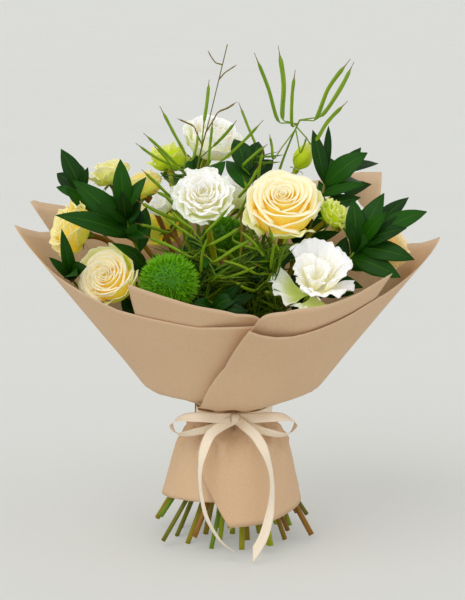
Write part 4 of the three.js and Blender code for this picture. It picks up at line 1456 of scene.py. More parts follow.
@dataclass(frozen=True)
class Ruscus(Plant):
    """A leafy stem, with its leaves as (share of the stem, tip, width)."""

    leaves: Sequence[tuple[float, Place, float]]
    seed: int
    inner_leaves: int = 6

    THICKNESS = 0.5
    OUTLINE = (0.1, 0.62, 0.94, 1.0, 0.88, 0.56, 0.03)
    TRIES = 160

    @classmethod
    def leaf(cls, piece: Piece, foot: Vector, tip: Vector, width: float, luck: random.Random) -> None:
        """Adds a pointed leaf, folded a little along its rib.

        Args:
            piece: The mesh that takes it.
            foot: Where it leaves the stem.
            tip: Its point.
            width: Its greatest width.
            luck: Seeded draws for small differences.
        """
        length = (tip - foot).length
        axis = (tip - foot).normalized()
        up = Vector((-axis.x * 0.2, -1, 0.55))
        across = axis.cross(up).normalized()
        out = across.cross(axis).normalized()
        widths = Bend([Vector((wide, 0, 0)) for wide in cls.OUTLINE])
        twist = luck.uniform(-0.35, 0.35)
        sag = luck.uniform(0.02, 0.08)

        def surface(u: float, v: float) -> Vector:
            """The leaf from side to side and from foot to tip.

            Args:
                u: The place across, from 0 to 1.
                v: The place along, from 0 to 1.

            Returns:
                The point, in millimetres.
            """
            side = (2 * u - 1) * widths.point(v).x * width / 2
            turned = across * math.cos(twist * v) + out * math.sin(twist * v)
            rise = 0.09 * length * math.sin(math.pi * v) - sag * length * v ** 3 + 0.12 * abs(side)
            ripple = 0.02 * width * math.sin(9 * v + 3 * u + twist * 9)
            return foot + axis * (v * length) + turned * side + out * (rise + ripple)

        piece.sheet(6, 14, surface, 0, luck.random() ** 1.5)

    def build(self, stem: Stem, blooms: Sequence[Bloom], palette: Palette) -> None:
        """Makes the stem and its leaves.

        Args:
            stem: The stem in its place in the bundle.
            blooms: The blooms, which the inner leaves keep clear of.
            palette: The finishes.
        """
        luck = random.Random(self.seed)
        bend = stem.bend()
        self.stalk(stem, self.TAPER_STEPS, 1.0, 0.0, luck.uniform(0.1, 0.7), palette)
        piece = Piece(f"{self.name}_leaves")
        for share, tip, width in self.leaves:
            self.leaf(piece, bend(share), mm(tip), width, luck)
        self._inner(piece, bend, blooms, luck)
        piece.finish("ruscus_leaf", [palette.of(RUSCUS_GREEN)], [self.name], thickness=self.THICKNESS)

    def _inner(
        self, piece: Piece, bend: Callable[[float], Vector], blooms: Sequence[Bloom], luck: random.Random,
    ) -> None:
        """Adds the leaves deep in the bouquet, where they fit between the blooms.

        Args:
            piece: The mesh that takes them.
            bend: The stem's line above the splay.
            blooms: The blooms, which they keep clear of.
            luck: Seeded draws for their places.
        """
        grown = 0
        for _ in range(self.TRIES):
            if grown == self.inner_leaves:
                return
            share = luck.uniform(0.15, 0.95)
            foot = bend(share)
            way = (bend(share + 0.04) - bend(share - 0.04)).normalized()
            side = way.cross(scatter(luck)).normalized()
            length = luck.uniform(34, 52)
            tip = foot + (way * 0.75 + side * 0.75).normalized() * length
            if all(keeps_clear(foot.lerp(tip, part), blooms, 1.02) for part in (0.4, 0.7, 1)):
                self.leaf(piece, foot, tip, luck.uniform(13, 20), luck)
                grown += 1


@dataclass(frozen=True)
class PodSpray(Plant):
    """A stem of pods.

    Attributes:
        pods: Its pods as (share of the stem, foot of the pod, its tip).
        seed: Seed of its small differences.
        more: Side shoots in the tangle round it.
        lean: The way that their needles lean.
        dry: Whether it is dry and brown.
        thick: A pod's radius.
        top: Height of the tangle's top.
        blades: Ruscus leaves in the tangle, as (share of the stem, tip, width).
    """

    pods: Sequence[tuple[float, Place, Place]]
    seed: int
    more: int = 14
    lean: Place = (0.7, -0.2, 0.65)
    dry: bool = False
    thick: float = 1.5
    top: float = 374.0
    blades: Sequence[tuple[float, Place, float]] = ()

    STEPS = 30
    SHORT = 27.0
    THICKNESS = 0.4
    TRIES = 600
    NEEDLE_OUTLINE = (0.5, 0.8, 1.0, 1.0, 1.0, 0.92, 0.74, 0.44, 0.12)
    NEEDLES = (0.3, 0.5, 0.7, 0.85, 0.98)

    def pod(self, piece: Piece, root: Vector, foot: Vector, tip: Vector, luck: random.Random) -> None:
        """Adds a slim pod on its stalk, swollen softly by its seeds, its end drawn into a beak.

        Args:
            piece: The mesh that takes it.
            root: Where the stalk leaves the stem.
            foot: Where the pod begins.
            tip: The beak's point.
            luck: Seeded draws for small differences.
        """
        length = (tip - foot).length
        dry = 0.8 if length < self.SHORT and self.dry else 0.0
        across = (tip - foot).cross(Vector((0.2, -1, 0.3))).normalized()
        bow = across * (length * luck.uniform(-0.06, 0.06))
        line = Bend([root, root.lerp(foot, 0.6), foot, foot.lerp(tip, 0.5) + bow, tip])
        seeds = max(round(length / 5), 2)
        plump = luck.uniform(0.85, 1.15) * self.thick * min(length / 34, 1)
        points, radii, tones = [], [], []
        for step in range(self.STEPS + 1):
            share = step / self.STEPS
            points.append(line.point(share))
            inside = (share - 0.5) / 0.5
            if inside < 0:
                radii.append(mix(0.75, 0.6, share * 2))
                tones.append(dry)
                continue
            wall = ease(inside, 0, 0.1) * (1 - ease(inside, 0.78, 0.9))
            bead = 1 + 0.06 * math.cos(2 * math.pi * inside * seeds)
            radii.append(mix(mix(0.65, 0.3, inside), plump * bead, wall))
            tones.append(max(dry, ease(inside, 0.76, 0.92)))
        piece.tube(points, radii, 7, lambda u, v: tones[round(v * self.STEPS)], luck.random())

    def build(self, stem: Stem, blooms: Sequence[Bloom], palette: Palette) -> None:
        """Makes the stem, its pods and the tangle round it.

        Args:
            stem: The stem in its place in the bundle.
            blooms: The blooms, which the tangle keeps clear of.
            palette: The finishes.
        """
        luck = random.Random(self.seed)
        bend = stem.bend()
        thin, brown, browning = (0.5, 1.0, 0.4) if self.dry else (0.8, 0.35, 0.6)
        self.stalk(
            stem, self.STEPS, thin, lambda u, v: brown * ease(v, browning, browning + 0.4),
            luck.uniform(0.1, 0.6), palette)
        piece = Piece(f"{self.name}_pods")
        for share, foot, tip in self.pods:
            self.pod(piece, bend(min(share, 0.995)), mm(foot), mm(tip), luck)
        piece.finish("pod", [palette.of(POD_GREEN)], [self.name])
        if self.more:
            tangle = Piece(f"{self.name}_tangle")
            leaves = Piece(f"{self.name}_leaves")
            self._further(tangle, leaves, bend, blooms, luck)
            for share, tip, width in self.blades:
                Ruscus.leaf(leaves, bend(share), mm(tip), width, luck)
            # The tangle takes the darker needle colours: painted shade.
            tangle.finish("pod", [palette.of(SHADED_NEEDLE_GREEN)], [self.name])
            leaves.finish("ruscus_leaf", [palette.of(RUSCUS_GREEN)], [self.name], thickness=self.THICKNESS)

    def needle(self, piece: Piece, foot: Vector, tip: Vector, radius: float, luck: random.Random) -> None:
        """Adds a young pod as thin as a needle, a little bowed.

        Args:
            piece: The mesh that takes it.
            foot: Where it begins.
            tip: Its point.
            radius: Its greatest radius.
            luck: Seeded draws for small differences.
        """
        bow = scatter(luck) * (0.05 * (tip - foot).length)
        line = Bend([foot, foot.lerp(tip, 0.5) + bow, tip])
        steps = len(self.NEEDLE_OUTLINE) - 1
        points = [line.point(step / steps) for step in range(steps + 1)]
        piece.tube(points, [radius * share for share in self.NEEDLE_OUTLINE], 5, 0.0, luck.random())

    def _further(
        self, piece: Piece, leaves: Piece, bend: Callable[[float], Vector], blooms: Sequence[Bloom],
        luck: random.Random,
    ) -> None:
        """Adds side shoots with needles and narrow leaves, where they fit between the blooms.

        Args:
            piece: The mesh that takes the shoots and the needles.
            leaves: The mesh that takes the leaves.
            bend: The stem's line above the splay.
            blooms: The blooms, which they keep clear of.
            luck: Seeded draws for small differences.
        """
        def covers(place: Vector) -> bool:
            """Whether a place hides a bloom from the front.

            Args:
                place: The place.

            Returns:
                True if it does.
            """
            for bloom in blooms:
                off = place - mm(bloom.centre)
                ahead = off.dot(FRONT)
                if ahead > 0 and (off - ahead * FRONT).length < 0.48 * bloom.width:
                    return True
            return False

        def fits(start: Vector, end: Vector) -> bool:
            """Whether a shoot between two places leaves the blooms clear and stays below the tangle's top.

            Args:
                start: Where it begins.
                end: Where it ends.

            Returns:
                True if it does.
            """
            places = [start.lerp(end, part) for part in (0.3, 0.55, 0.8, 1)]
            return end.z < self.top and not any(
                covers(place) or not keeps_clear(place, blooms, 1.03) for place in places)

        grown = 0
        for _ in range(self.TRIES):
            if grown == self.more:
                return
            share = luck.uniform(0.12, 0.97)
            root = bend(share)
            way = (bend(share + 0.03) - bend(share - 0.03)).normalized()
            side = way.cross(scatter(luck)).normalized()
            end = root + (way * luck.uniform(-0.2, 0.7) + side).normalized() * luck.uniform(12, 38)
            if not fits(root, end):
                continue
            grown += 1
            self.needle(piece, root, end, 0.8, luck)
            for part in self.NEEDLES:
                foot = root.lerp(end, part)
                tip = foot + (Vector(self.lean) + stray(luck, 0.5)).normalized() * luck.uniform(22, 50)
                if fits(foot, tip):
                    self.needle(piece, foot, tip, luck.uniform(0.55, 1.1), luck)
            leaf = end + Vector((luck.uniform(-16, 16), luck.uniform(6, 24), luck.uniform(-12, 16)))
            if grown % 2 and fits(root, leaf):
                Ruscus.leaf(leaves, root, leaf, luck.uniform(7, 14), luck)


# ---------------------------------------------------------------- paper
@dataclass(frozen=True)
class Fold:
    """A layer of a sheet that is folded back inside it.

    Attributes:
        at_start: Whether it is folded at the sheet's first side edge.
        reach: The angles at which it ends, at the cone's foot and at the rim.
        rim: (angle, height) of its rim.
    """

    at_start: bool
    reach: tuple[float, float]
    rim: Pairs


@dataclass(frozen=True)
class Wrap:
    """A wrapping sheet of kraft paper.

    Attributes:
        name: The CAD node.
        start: Angles in degrees of its first side edge at the hem, the tie, the cone's middle and the rim.
        end: Angles of its other side edge.
        hem: (angle, height) of the hem.
        rim: (angle, height) of the rim.
        layer: (angle, layer) of how far outside the innermost sheet it lies.
        fold: The layer folded back inside it.
        seed: Seed of its small waves.
    """

    name: str
    start: tuple[float, float, float, float]
    end: tuple[float, float, float, float]
    hem: Pairs
    rim: Pairs
    layer: Pairs
    fold: Fold | None
    seed: int

    THICKNESS = 0.4
    WAIST_RADIUS = 31.5
    PLEAT_DEPTH = 4.5
    PLEATS = 10
    CONE_START = 157.0
    CONE_RADIUS = 88.0
    CONE_SLOPE = 0.8
    BACK_SLOPE = 0.48
    DEPTH_SHARE = 0.93
    CONE_MIDDLE = 206.0
    HEM_FLARE = 0.3
    HEM_FLARE_RIGHT = 0.22
    TIE_HEIGHT = 131.0
    CRUMPLE_TOP = 118.0
    # Rows from the hem up: radius, height, how much the pleats show, how far out and up the next layer lies.
    HEM_STEP = (2.8, 0.0)
    LOWER = ((56.0, 98.0, 0.15, 2.5, 0.4), (31.5, 125.0, 1.0, 2.3, 0.0))
    UPPER = ((31.5, 138.0, 1.0, 2.3, -0.8), (55.0, 147.0, 0.5, 1.6, -2.2), (88.0, 157.0, 0.1, 1.8, -2.4))
    MIDDLE_STEP = (2.8, -3.2)
    RIM_STEP = (5.0, -4.0)
    ROWS = 7
    CONE_ROW = 5
    COLUMNS = 120
    FOLD_COLUMNS = 40
    STEPS = 12
    CREASE = 3.2
    LOOP = 11.0

    @classmethod
    def slope(cls, angle: float) -> float:
        """Widening of the cone at an angle: steeper at the back."""
        return mix(cls.CONE_SLOPE, cls.BACK_SLOPE, ease(math.sin(math.radians(angle)), 0.1, 0.9))

    @classmethod
    def hem_flare(cls, angle: float) -> float:
        """Widening of the skirt at an angle: the right side hangs straighter."""
        return mix(cls.HEM_FLARE, cls.HEM_FLARE_RIGHT, ease(math.cos(math.radians(angle)), 0.2, 0.9))

    def rows(self, angle: float, hem: float, rim: float) -> list[tuple[float, ...]]:
        """The rows of the wrap at an angle, from the hem to the rim.

        Args:
            angle: Where round the bouquet, in degrees.
            hem: The hem's height there.
            rim: The rim's height there.

        Returns:
            For each row: radius, height, pleats, and the step of the next layer out and up.
        """
        def cone(height: float) -> float:
            """The cone's radius at a height."""
            return self.CONE_RADIUS + self.slope(angle) * (height - self.CONE_START)

        first = self.LOWER[0]
        return [
            (first[0] + (first[1] - hem) * self.hem_flare(angle), hem, 0.0, *self.HEM_STEP),
            *self.LOWER, *self.UPPER,
            (cone(self.CONE_MIDDLE), self.CONE_MIDDLE, 0.0, *self.MIDDLE_STEP),
            (cone(rim), rim, 0.0, *self.RIM_STEP),
        ]

    def point(self, angle: float, share: float, hem: float, rim: float, layer: float) -> Vector:
        """A point of the wrap.

        Args:
            angle: Where round the bouquet, in degrees.
            share: From the hem at 0 to the rim at 1.
            hem: The hem's height there.
            rim: The rim's height there.
            layer: How many layers lie inside it.

        Returns:
            The point, in millimetres.
        """
        rows = self.rows(angle, hem, rim)

        def read(at: float) -> list[float]:
            """The rows' values at a place between them.

            Args:
                at: The place, counted in rows.

            Returns:
                The values.
            """
            at = min(max(at, 0.0), float(self.ROWS))
            below = min(int(at), self.ROWS - 1)
            return [mix(low, high, at - below) for low, high in zip(rows[below], rows[below + 1])]

        at = share * self.ROWS
        soft = ease(at, 0, 0.5) * mix(0.32, 0.07, ease(at, 3.7, 4.5))
        soft *= 1 - ease(at, self.ROWS - 0.4, self.ROWS)
        parts = [read(at + soft * offset) for offset in (-1, -0.5, 0, 0.5, 1)]
        radius, height, pleat, out, up = [sum(values) / len(parts) for values in zip(*parts)]
        height += layer * up
        turn = math.radians(angle)
        fold = pleat * self.PLEAT_DEPTH * math.cos(turn * self.PLEATS)

        def waves(size: float, start: float, rise: float) -> float:
            """A noise round the wrap, its waves shorter for a greater size."""
            return wave(math.cos(turn) * size, math.sin(turn) * size, start + height * rise)

        away = abs(height - self.TIE_HEIGHT)
        creased = math.exp(-max(away - 9, 0) / 20) * ease(away, 6, 13)
        crumpled = math.exp(-(max(self.CRUMPLE_TOP - height, 0) / 22) ** 2)
        crumpled *= ease(self.TIE_HEIGHT - height, 5, 12)
        gathered = creased * (2.4 - 9 * abs(waves(4.6, 0, 0.012)))
        gathered += crumpled * max(4 + 11 * waves(5.2, 4, 0.03) - 20 * abs(waves(6.6, 9, 0.045)), -3)
        sway = 1.5 * ease(away, 9, 60) * waves(1.6, self.seed, 0.01)
        reach = radius + layer * out + fold + gathered + sway
        depth = mix(1, self.DEPTH_SHARE, ease(height, 140, 200))
        return Vector((reach * math.cos(turn), depth * reach * math.sin(turn), height))

    def edge(self, angles: tuple[float, float, float, float], share: float) -> float:
        """Angle of a side edge, which runs straight up past the tie.

        Args:
            angles: The edge's angles at the hem, the tie, the cone's middle and the rim.
            share: From the hem at 0 to the rim at 1.

        Returns:
            The angle, in degrees.
        """
        hem, tie, middle, rim = angles
        turns = ((0, hem), (1, tie), (self.CONE_ROW - 1, tie), (self.ROWS - 1, middle), (self.ROWS, rim))
        return along(turns, share * self.ROWS)

    def build(self, palette: Palette) -> None:
        """Makes the sheet with its folded layer in one mesh, and dresses it.

        Args:
            palette: The finishes.
        """
        piece = Piece(f"{self.name}_sheet")
        rows = self.ROWS * self.STEPS

        def outer(u: float, v: float) -> Vector:
            """The sheet from its first side edge to the other.

            Args:
                u: The place across, from 0 to 1.
                v: The place along, from 0 to 1.

            Returns:
                The point, in millimetres.
            """
            angle = mix(self.edge(self.start, v), self.edge(self.end, v), u)
            layer = along(self.layer, angle)
            return self.point(angle, v, along(self.hem, angle), along(self.rim, angle), layer)

        def paler_edges(u: float, v: float) -> float:
            """How much paler the sheet is: at its rim and its folded edge."""
            folded = (u if not self.fold.at_start else 1 - u) if self.fold else 0
            return max(ease(v, 0.985, 1), ease(folded, 0.985, 1) * ease(v, 0.7, 0.75))

        made = piece.sheet(self.COLUMNS, rows, outer, paler_edges)
        if self.fold:
            made += self._folded(piece)
            bmesh.ops.remove_doubles(piece.mesh, verts=made, dist=0.02 * MM)
        piece.finish("kraft_paper", [palette.of(KRAFT)], [self.name], thickness=self.THICKNESS)

    def _folded(self, piece: Piece) -> list[bmesh.types.BMVert]:
        """Adds the layer folded back inside: creased sharply at the cone's foot, in a loop at the rim.

        Args:
            piece: The mesh that takes it.

        Returns:
            The layer's vertices.
        """
        fold = self.fold
        first = self.CONE_ROW / self.ROWS
        way = 1 if fold.at_start else -1

        def inner(u: float, v: float) -> Vector:
            """The folded layer from the fold inwards and from the cone's foot to the rim.

            Args:
                u: The place across, from 0 to 1.
                v: The place along, from 0 to 1.

            Returns:
                The point, in millimetres.
            """
            share = mix(first, 1, v)
            edge = self.edge(self.start if fold.at_start else self.end, share)
            angle = mix(edge, mix(fold.reach[0], fold.reach[1], v), u * u * (3 - u) / 2)
            near = abs(angle - edge)
            part = min(near / mix(self.CREASE, self.LOOP, ease(v, 0.5, 1)), 1)
            turned = ease(part, 0, 1) * mix(1, 0.24, ease(near, 12, 26))
            turned += 0.5 * math.sin(math.pi * part) * ease(v, 0.5, 1)
            bulge = math.sin(math.pi * part) * mix(0.5, 1.8, ease(v, 0.5, 1))
            rim = mix(along(self.rim, angle), along(fold.rim, angle), ease(near, 0, 6))
            return self.point(
                angle - way * bulge, share, along(self.hem, angle), rim, along(self.layer, angle) - turned)

        def paler_edges(u: float, v: float) -> float:
            """How much paler the layer is: at the fold and at its rim."""
            return max(1 - ease(u, 0, 0.05), ease(v, 0.96, 1))

        return piece.sheet(self.FOLD_COLUMNS, (self.ROWS - self.CONE_ROW) * self.STEPS, inner, paler_edges)


SHEETS = (
    Wrap(
        "paper_left", (-218, -216, -211, -208), (-66, -72, -76, -78),
        ((-220, 40), (-180, 44), (-130, 50), (-66, 54)),
        ((-208, 300), (-194, 304), (-180, 318), (-160, 280), (-131, 253), (-102, 241), (-78, 243)),
        ((-220, 0), (-60, 0)), Fold(False, (-137, -121), ((-122, 283), (-88, 250), (-78, 245))), 3),
    Wrap(
        "paper_right", (-92, -126, -93, -85), (36, 36, 40, 24), ((-92, 30), (-60, 33), (0, 38), (36, 40)),
        ((-85, 249), (-81, 244), (-76, 241), (-70, 241), (-47, 252), (-33, 263), (-19, 281), (0, 306),
         (12, 294), (24, 288)),
        ((-70, 2), (-65, 1.88), (-60, 1.58), (-55, 1.21), (-50, 0.77), (-45, 0.37), (-40, 0.1), (-36, 0)),
        Fold(True, (-33, -37.5), (
            (-85, 249), (-78, 260), (-70, 266), (-60, 271), (-50, 275), (-37, 286))), 11),
    Wrap(
        "paper_back", (18, 18, 24, 41), (162, 162, 161, 160), ((18, 44), (90, 40), (162, 48)),
        ((41, 362), (47, 360), (60, 346), (90, 328), (140, 322), (158, 337), (160, 335)),
        ((40, 1.4), (46, 1.18), (52, 0.7), (58, 0.22), (64, 0), (116, 0), (122, 0.22), (128, 0.7),
         (134, 1.18), (140, 1.4), (156, 1.3), (162, 0.5)), None, 19),
)


# ---------------------------------------------------------------- ribbon
@dataclass(frozen=True)
class Strip:
    """A length of the ribbon: its stations as (x, y, z of the point, x, y, z of its width's direction)."""

    stations: Sequence[tuple[float, float, float, float, float, float]]
    steps: int
    shade: float
    slant: float = 0.0


@dataclass(frozen=True)
class Ribbon:
    """A satin ribbon tied in a bow: a band round the paper, a knot, two loops and two tails."""

    width: float = 10.0
    thickness: float = 0.35
    band_height: float = 130.7
    knot: Place = (3.0, -45.4, 131.0)

    BAND_PARTS = 20
    BAND_SHARE = 0.96
    BAND_CLEAR = 0.6
    LAYER_AT_TIE = 2.3
    KNOT_RADIUS = 5.0
    KNOT_PROUD = 1.2
    CROWN = 0.35
    MEASURES = 100
    STRIPS = (
        Strip((
            (-1, -47, 132, 0, 0.3, 1), (-12, -56, 134, 0, 0.4, 1), (-34, -64, 137, 0, 0.6, 1),
            (-52, -60, 135, 0.3, 0.9, 0.4), (-60, -53, 127, 0.3, 1, 0), (-54, -50, 117, 0.2, 0.9, -0.5),
            (-32, -56, 121, 0, 0.6, -1), (-1, -47, 129, 0, 0.3, -1)), 70, 0.2),
        Strip((
            (7, -47, 132, 0, 0.3, 1), (18, -56, 134, 0, 0.4, 1), (38, -64, 137, 0, 0.6, 1),
            (54, -58, 135, -0.3, 0.9, 0.4), (62, -51, 127, -0.3, 1, 0), (54, -49, 116, -0.2, 0.9, -0.5),
            (34, -56, 120, 0, 0.6, -1), (7, -47, 129, 0, 0.3, -1)), 70, 0.4),
        Strip((
            (1, -47, 130, -0.4, 0, 0.9), (-11.4, -58, 126.3, -0.5, 0, 0.85),
            (-21.4, -66, 120, -0.7, 0.15, 0.6), (-27.3, -71, 108.2, -0.8, 0.45, 0.3),
            (-31.3, -77, 91.2, -0.4, 0.9, 0.1), (-31.8, -82, 74.2, -0.3, 0.95, 0.1),
            (-29.2, -87, 57.3, -0.38, 0.9, 0), (-24.7, -90, 41.7, -0.4, 0.88, -0.2),
            (-10.5, -94, 19, -0.28, 0.9, -0.25), (2.5, -96, 9.5, -0.12, 0.95, -0.2)), 110, 0.7, 5.0),
        Strip((
            (5, -47, 130, -0.4, 0, -0.9), (12.5, -60, 126.7, -0.55, 0, -0.83),
            (21.5, -68, 120.3, -0.73, 0, -0.68), (28.8, -73, 110.5, -0.8, -0.35, -0.4),
            (34.1, -77, 98.5, -0.5, -0.85, -0.2), (37.7, -81, 84.8, -0.36, -0.93, -0.1),
            (38.8, -86, 71.5, -0.42, -0.9, 0), (37.9, -91, 58.2, -0.6, -0.8, 0.1),
            (35.6, -96, 44.9, -0.85, -0.5, 0.15), (28.7, -103, 24.2, -0.9, -0.2, 0.4),
            (16, -108, 5.2, -0.8, 0, 0.6)), 110, 0.9, 9.0),
    )

    def _outer_layer(self, angle: float) -> float:
        """How many layers of paper lie under the band at an angle in degrees.

        Args:
            angle: Where round the bouquet, in degrees.

        Returns:
            The number of layers.
        """
        beside = 180 / Wrap.PLEATS + 1
        found = [0.0]
        for sheet in SHEETS:
            turned = angle - 360 if sheet.start[1] < -180 and angle > 180 + sheet.end[1] else angle
            if sheet.start[1] - beside < turned < sheet.end[1] + beside:
                found.append(along(sheet.layer, turned))
        return max(found)

    def _band(self, piece: Piece) -> float:
        """Adds the band round the paper, closed under the knot.

        Args:
            piece: The mesh that takes it.

        Returns:
            The band's length in millimetres.
        """
        parts = self.BAND_PARTS
        crest = Wrap.WAIST_RADIUS + Wrap.PLEAT_DEPTH + Wrap.THICKNESS / 2 + self.BAND_CLEAR
        layers = [self._outer_layer(360 // parts * i - 180) for i in range(parts + 1)]

        def surface(u: float, v: float) -> Vector:
            """The band, its width along u and once round along v.

            Args:
                u: The place across, from 0 to 1.
                v: The place along, from 0 to 1.

            Returns:
                The point, in millimetres.
            """
            around = v * parts
            below = min(int(around), parts - 1)
            radius = crest + self.LAYER_AT_TIE * mix(layers[below], layers[below + 1], around - below)
            angle = 2 * math.pi * v - math.pi
            waver = 0.5 * math.sin(angle * 3)
            return Vector((
                radius * math.cos(angle), radius * math.sin(angle),
                self.band_height + (u - 0.5) * self.width * self.BAND_SHARE + waver))

        made = piece.sheet(6, 160, surface, 0, 0.3)
        bmesh.ops.remove_doubles(piece.mesh, verts=made, dist=WELD)
        return 2 * math.pi * (crest + self.LAYER_AT_TIE * sum(layers[:-1]) / parts)

    def _strip(self, piece: Piece, strip: Strip) -> float:
        """Adds a loop or a tail.

        Args:
            piece: The mesh that takes it.
            strip: Its way.

        Returns:
            Its length in millimetres.
        """
        line = Bend([mm(station[:3]) for station in strip.stations])
        widths = Bend([mm(station[3:]) for station in strip.stations])
        places = [line.point(i / self.MEASURES) for i in range(self.MEASURES + 1)]
        length = sum((after - before).length for before, after in zip(places, places[1:]))

        def surface(u: float, v: float) -> Vector:
            """The strip across its width and along its way, with a slanting cut at its end.

            Args:
                u: The place across, from 0 to 1.
                v: The place along, from 0 to 1.

            Returns:
                The point, in millimetres.
            """
            side = u - 0.5
            at = v * (1 - strip.slant / length * u * ease(v, 0.8, 1))
            ahead = line.point(min(at + 0.01, 1)) - line.point(max(at - 0.01, 0))
            across = widths.point(at).normalized()
            across = (across - ahead.normalized() * across.dot(ahead.normalized())).normalized()
            crown = ahead.normalized().cross(across) * (self.CROWN * math.cos(math.pi * side))
            return line.point(at) + across * (side * self.width) + crown

        piece.sheet(6, strip.steps, surface, 0, strip.shade)
        return length

    def _knot(self, piece: Piece) -> float:
        """Adds the knot: the ribbon wound once over the crossing, with its sides tucked in.

        Args:
            piece: The mesh that takes it.

        Returns:
            The wound length in millimetres.
        """
        middle = mm(self.knot) + Vector((0, -self.KNOT_PROUD, 0))

        def surface(u: float, v: float) -> Vector:
            """The knot across its width and once round.

            Args:
                u: The place across, from 0 to 1.
                v: The place along, from 0 to 1.

            Returns:
                The point, in millimetres.
            """
            side = 2 * u - 1
            angle = 2 * math.pi * v
            plump = math.sqrt(max(1 - (0.72 * side) ** 2, 0))
            crumple = 1 + 0.09 * math.sin(3 * angle + 4 * side) + 0.04 * math.sin(7 * side)
            ahead = -4.6 * plump * crumple * math.cos(angle)
            return middle + Vector((side * 4.2, ahead, 5.2 * plump * crumple * math.sin(angle)))

        made = piece.sheet(10, 28, surface, 0, 0.6)
        bmesh.ops.remove_doubles(piece.mesh, verts=made, dist=WELD)
        return 2 * math.pi * self.KNOT_RADIUS

    def build(self, palette: Palette) -> None:
        """Args:
            palette: The finishes.
        """
        piece = Piece("ribbon_bow")
        length = self._band(piece) + self._knot(piece)
        for strip in self.STRIPS:
            length += self._strip(piece, strip)
        made = piece.finish("satin", [palette.of(SATIN)], ["satin_ribbon"], thickness=self.thickness)
        LOG.info("the ribbon is %.0f mm long when it is flat", length)


# ---------------------------------------------------------------- studio
@dataclass(frozen=True)
class Studio:
    """The floor, the lights and the camera.

    Attributes:
        distance: From the camera to the bouquet, in metres.
        elevation: The camera's height above the horizon, in degrees.
        aim: Height that it is aimed at, in metres.
        lens: Focal length in millimetres.
        floor_radius: In metres.
    """

    distance: float = 2.0
    elevation: float = 10.0
    aim: float = 0.242
    lens: float = 120.0
    floor_radius: float = 40.0

    FRAME = 36
    FAR = 200
    ROOM_LIGHT = 0.68
    SUNS = (
        ("key light", (0.55, 0.7, -1.0), 55, 1.05),
        ("fill light", (-0.8, 0.6, -0.45), 80, 0.45),
    )

    def build(self, palette: Palette) -> None:
        """Makes everything round the bouquet.

        Args:
            palette: The finishes.
        """
        self._camera()
        self._floor(palette)
        self._lights()

    def _camera(self) -> None:
        """Stands the camera in front."""
        data = bpy.data.cameras.new("camera")
        data.sensor_fit = "VERTICAL"
        data.sensor_height = self.FRAME
        data.lens = self.lens
        data.clip_end = self.FAR
        camera = new_object("camera", data)
        rise = math.radians(self.elevation)
        aim = Vector((TIE_AXIS.x, TIE_AXIS.y, self.aim))
        camera.location = aim + Vector((0, -math.cos(rise), math.sin(rise))) * self.distance
        camera.rotation_euler = (math.pi / 2 - rise, 0, 0)
        bpy.context.scene.camera = camera

    def _floor(self, palette: Palette) -> None:
        """Lays the floor.

        Args:
            palette: The finishes.
        """
        shape = bmesh.new()
        bmesh.ops.create_circle(shape, cap_ends=True, radius=self.floor_radius, segments=64)
        data = bpy.data.meshes.new("floor")
        shape.to_mesh(data)
        shape.free()
        data.materials.append(palette.of(FLOOR))
        new_object("floor", data)

    def _lights(self) -> None:
        """Shines a broad soft light from the left and a weaker one from the right, and lights the room."""
        for name, way, softness, power in self.SUNS:
            data = bpy.data.lights.new(name, "SUN")
            data.angle = math.radians(softness)
            data.energy = power
            new_object(name, data).rotation_euler = Vector(way).to_track_quat("-Z", "Y").to_euler()
        world = bpy.data.worlds.new("room")
        world.use_nodes = True
        backdrop = world.node_tree.nodes["Background"]
        backdrop.inputs["Color"].default_value = (1.0, 1.0, 1.0, 1.0)
        backdrop.inputs["Strength"].default_value = self.ROOM_LIGHT
        bpy.context.scene.world = world
        bpy.context.scene.view_settings.view_transform = "Standard"


# ---------------------------------------------------------------- the bouquet
BLOOMS: tuple[Bloom, ...] = (
    Rose("rose_1", (48, -70, 347), -90, 46, 75, Ring.INNER, CREAM, 1),
    GuardedRose("rose_2", (-120, -51, 272), -112, 28, 62, Ring.OUTER, CREAM, 2),
    Rose("rose_3", (-160, -12, 316), -164, 22, 56, Ring.OUTER, BUTTER, 3),
    Rose("rose_4", (-90, 6, 356), 150, 58, 42, Ring.MIDDLE, BUTTER, 4),
    Rose("rose_5", (-124, 42, 366), 150, 72, 42, Ring.MIDDLE, LIME_CREAM, 5),
    Rose("rose_6", (155, 4, 300), -8, 32, 56, Ring.OUTER, PEACH, 6),
    Rose("rose_7", (66, 84, 318), 62, 44, 66, Ring.MIDDLE, CREAM, 7),
    Rose("rose_8", (-72, 92, 312), 126, 38, 64, Ring.OUTER, CREAM, 8),
    Double("lisianthus_1", (-28, -62, 354), -93, 36, 60, Ring.INNER, WHITE, 11, 1.0),
    Double("lisianthus_2", (-21, 38, 398), -60, 60, 60, Ring.CENTRE, WHITE, 12, 0.3),
    Trumpet("lisianthus_3", (79, -96, 278), -75, 58, 72, Ring.OUTER, WHITE, 13),
    Double("lisianthus_4", (-66, -26, 344), -170, 48, 36, Ring.MIDDLE, WHITE, 14, 0.5),
    Double("lisianthus_5", (10, 70, 336), 92, 62, 58, Ring.INNER, WHITE, 15, 0.8),
    Double("lisianthus_6", (118, 72, 318), 32, 40, 56, Ring.MIDDLE, WHITE, 16, 0.9),
    GreenBloom("green_bloom_1", (-64, 36, 378), 110, 66, 40, Ring.INNER, GREEN, 21),
    GreenBloom("green_bloom_2", (97, -48, 334), -25, 42, 32, Ring.MIDDLE, GREEN, 22),
    Bud("lisianthus_bud", (70, 2, 386), 10, 62, 20, Ring.INNER, GREEN, 31),
    Dianthus("dianthus_1", (-60, -104, 277), -110, 50, 58, Ring.OUTER, DIANTHUS_GREEN, 41),
    Dianthus("dianthus_2", (-8, 108, 288), 92, 45, 52, Ring.OUTER, DIANTHUS_GREEN, 42),
)
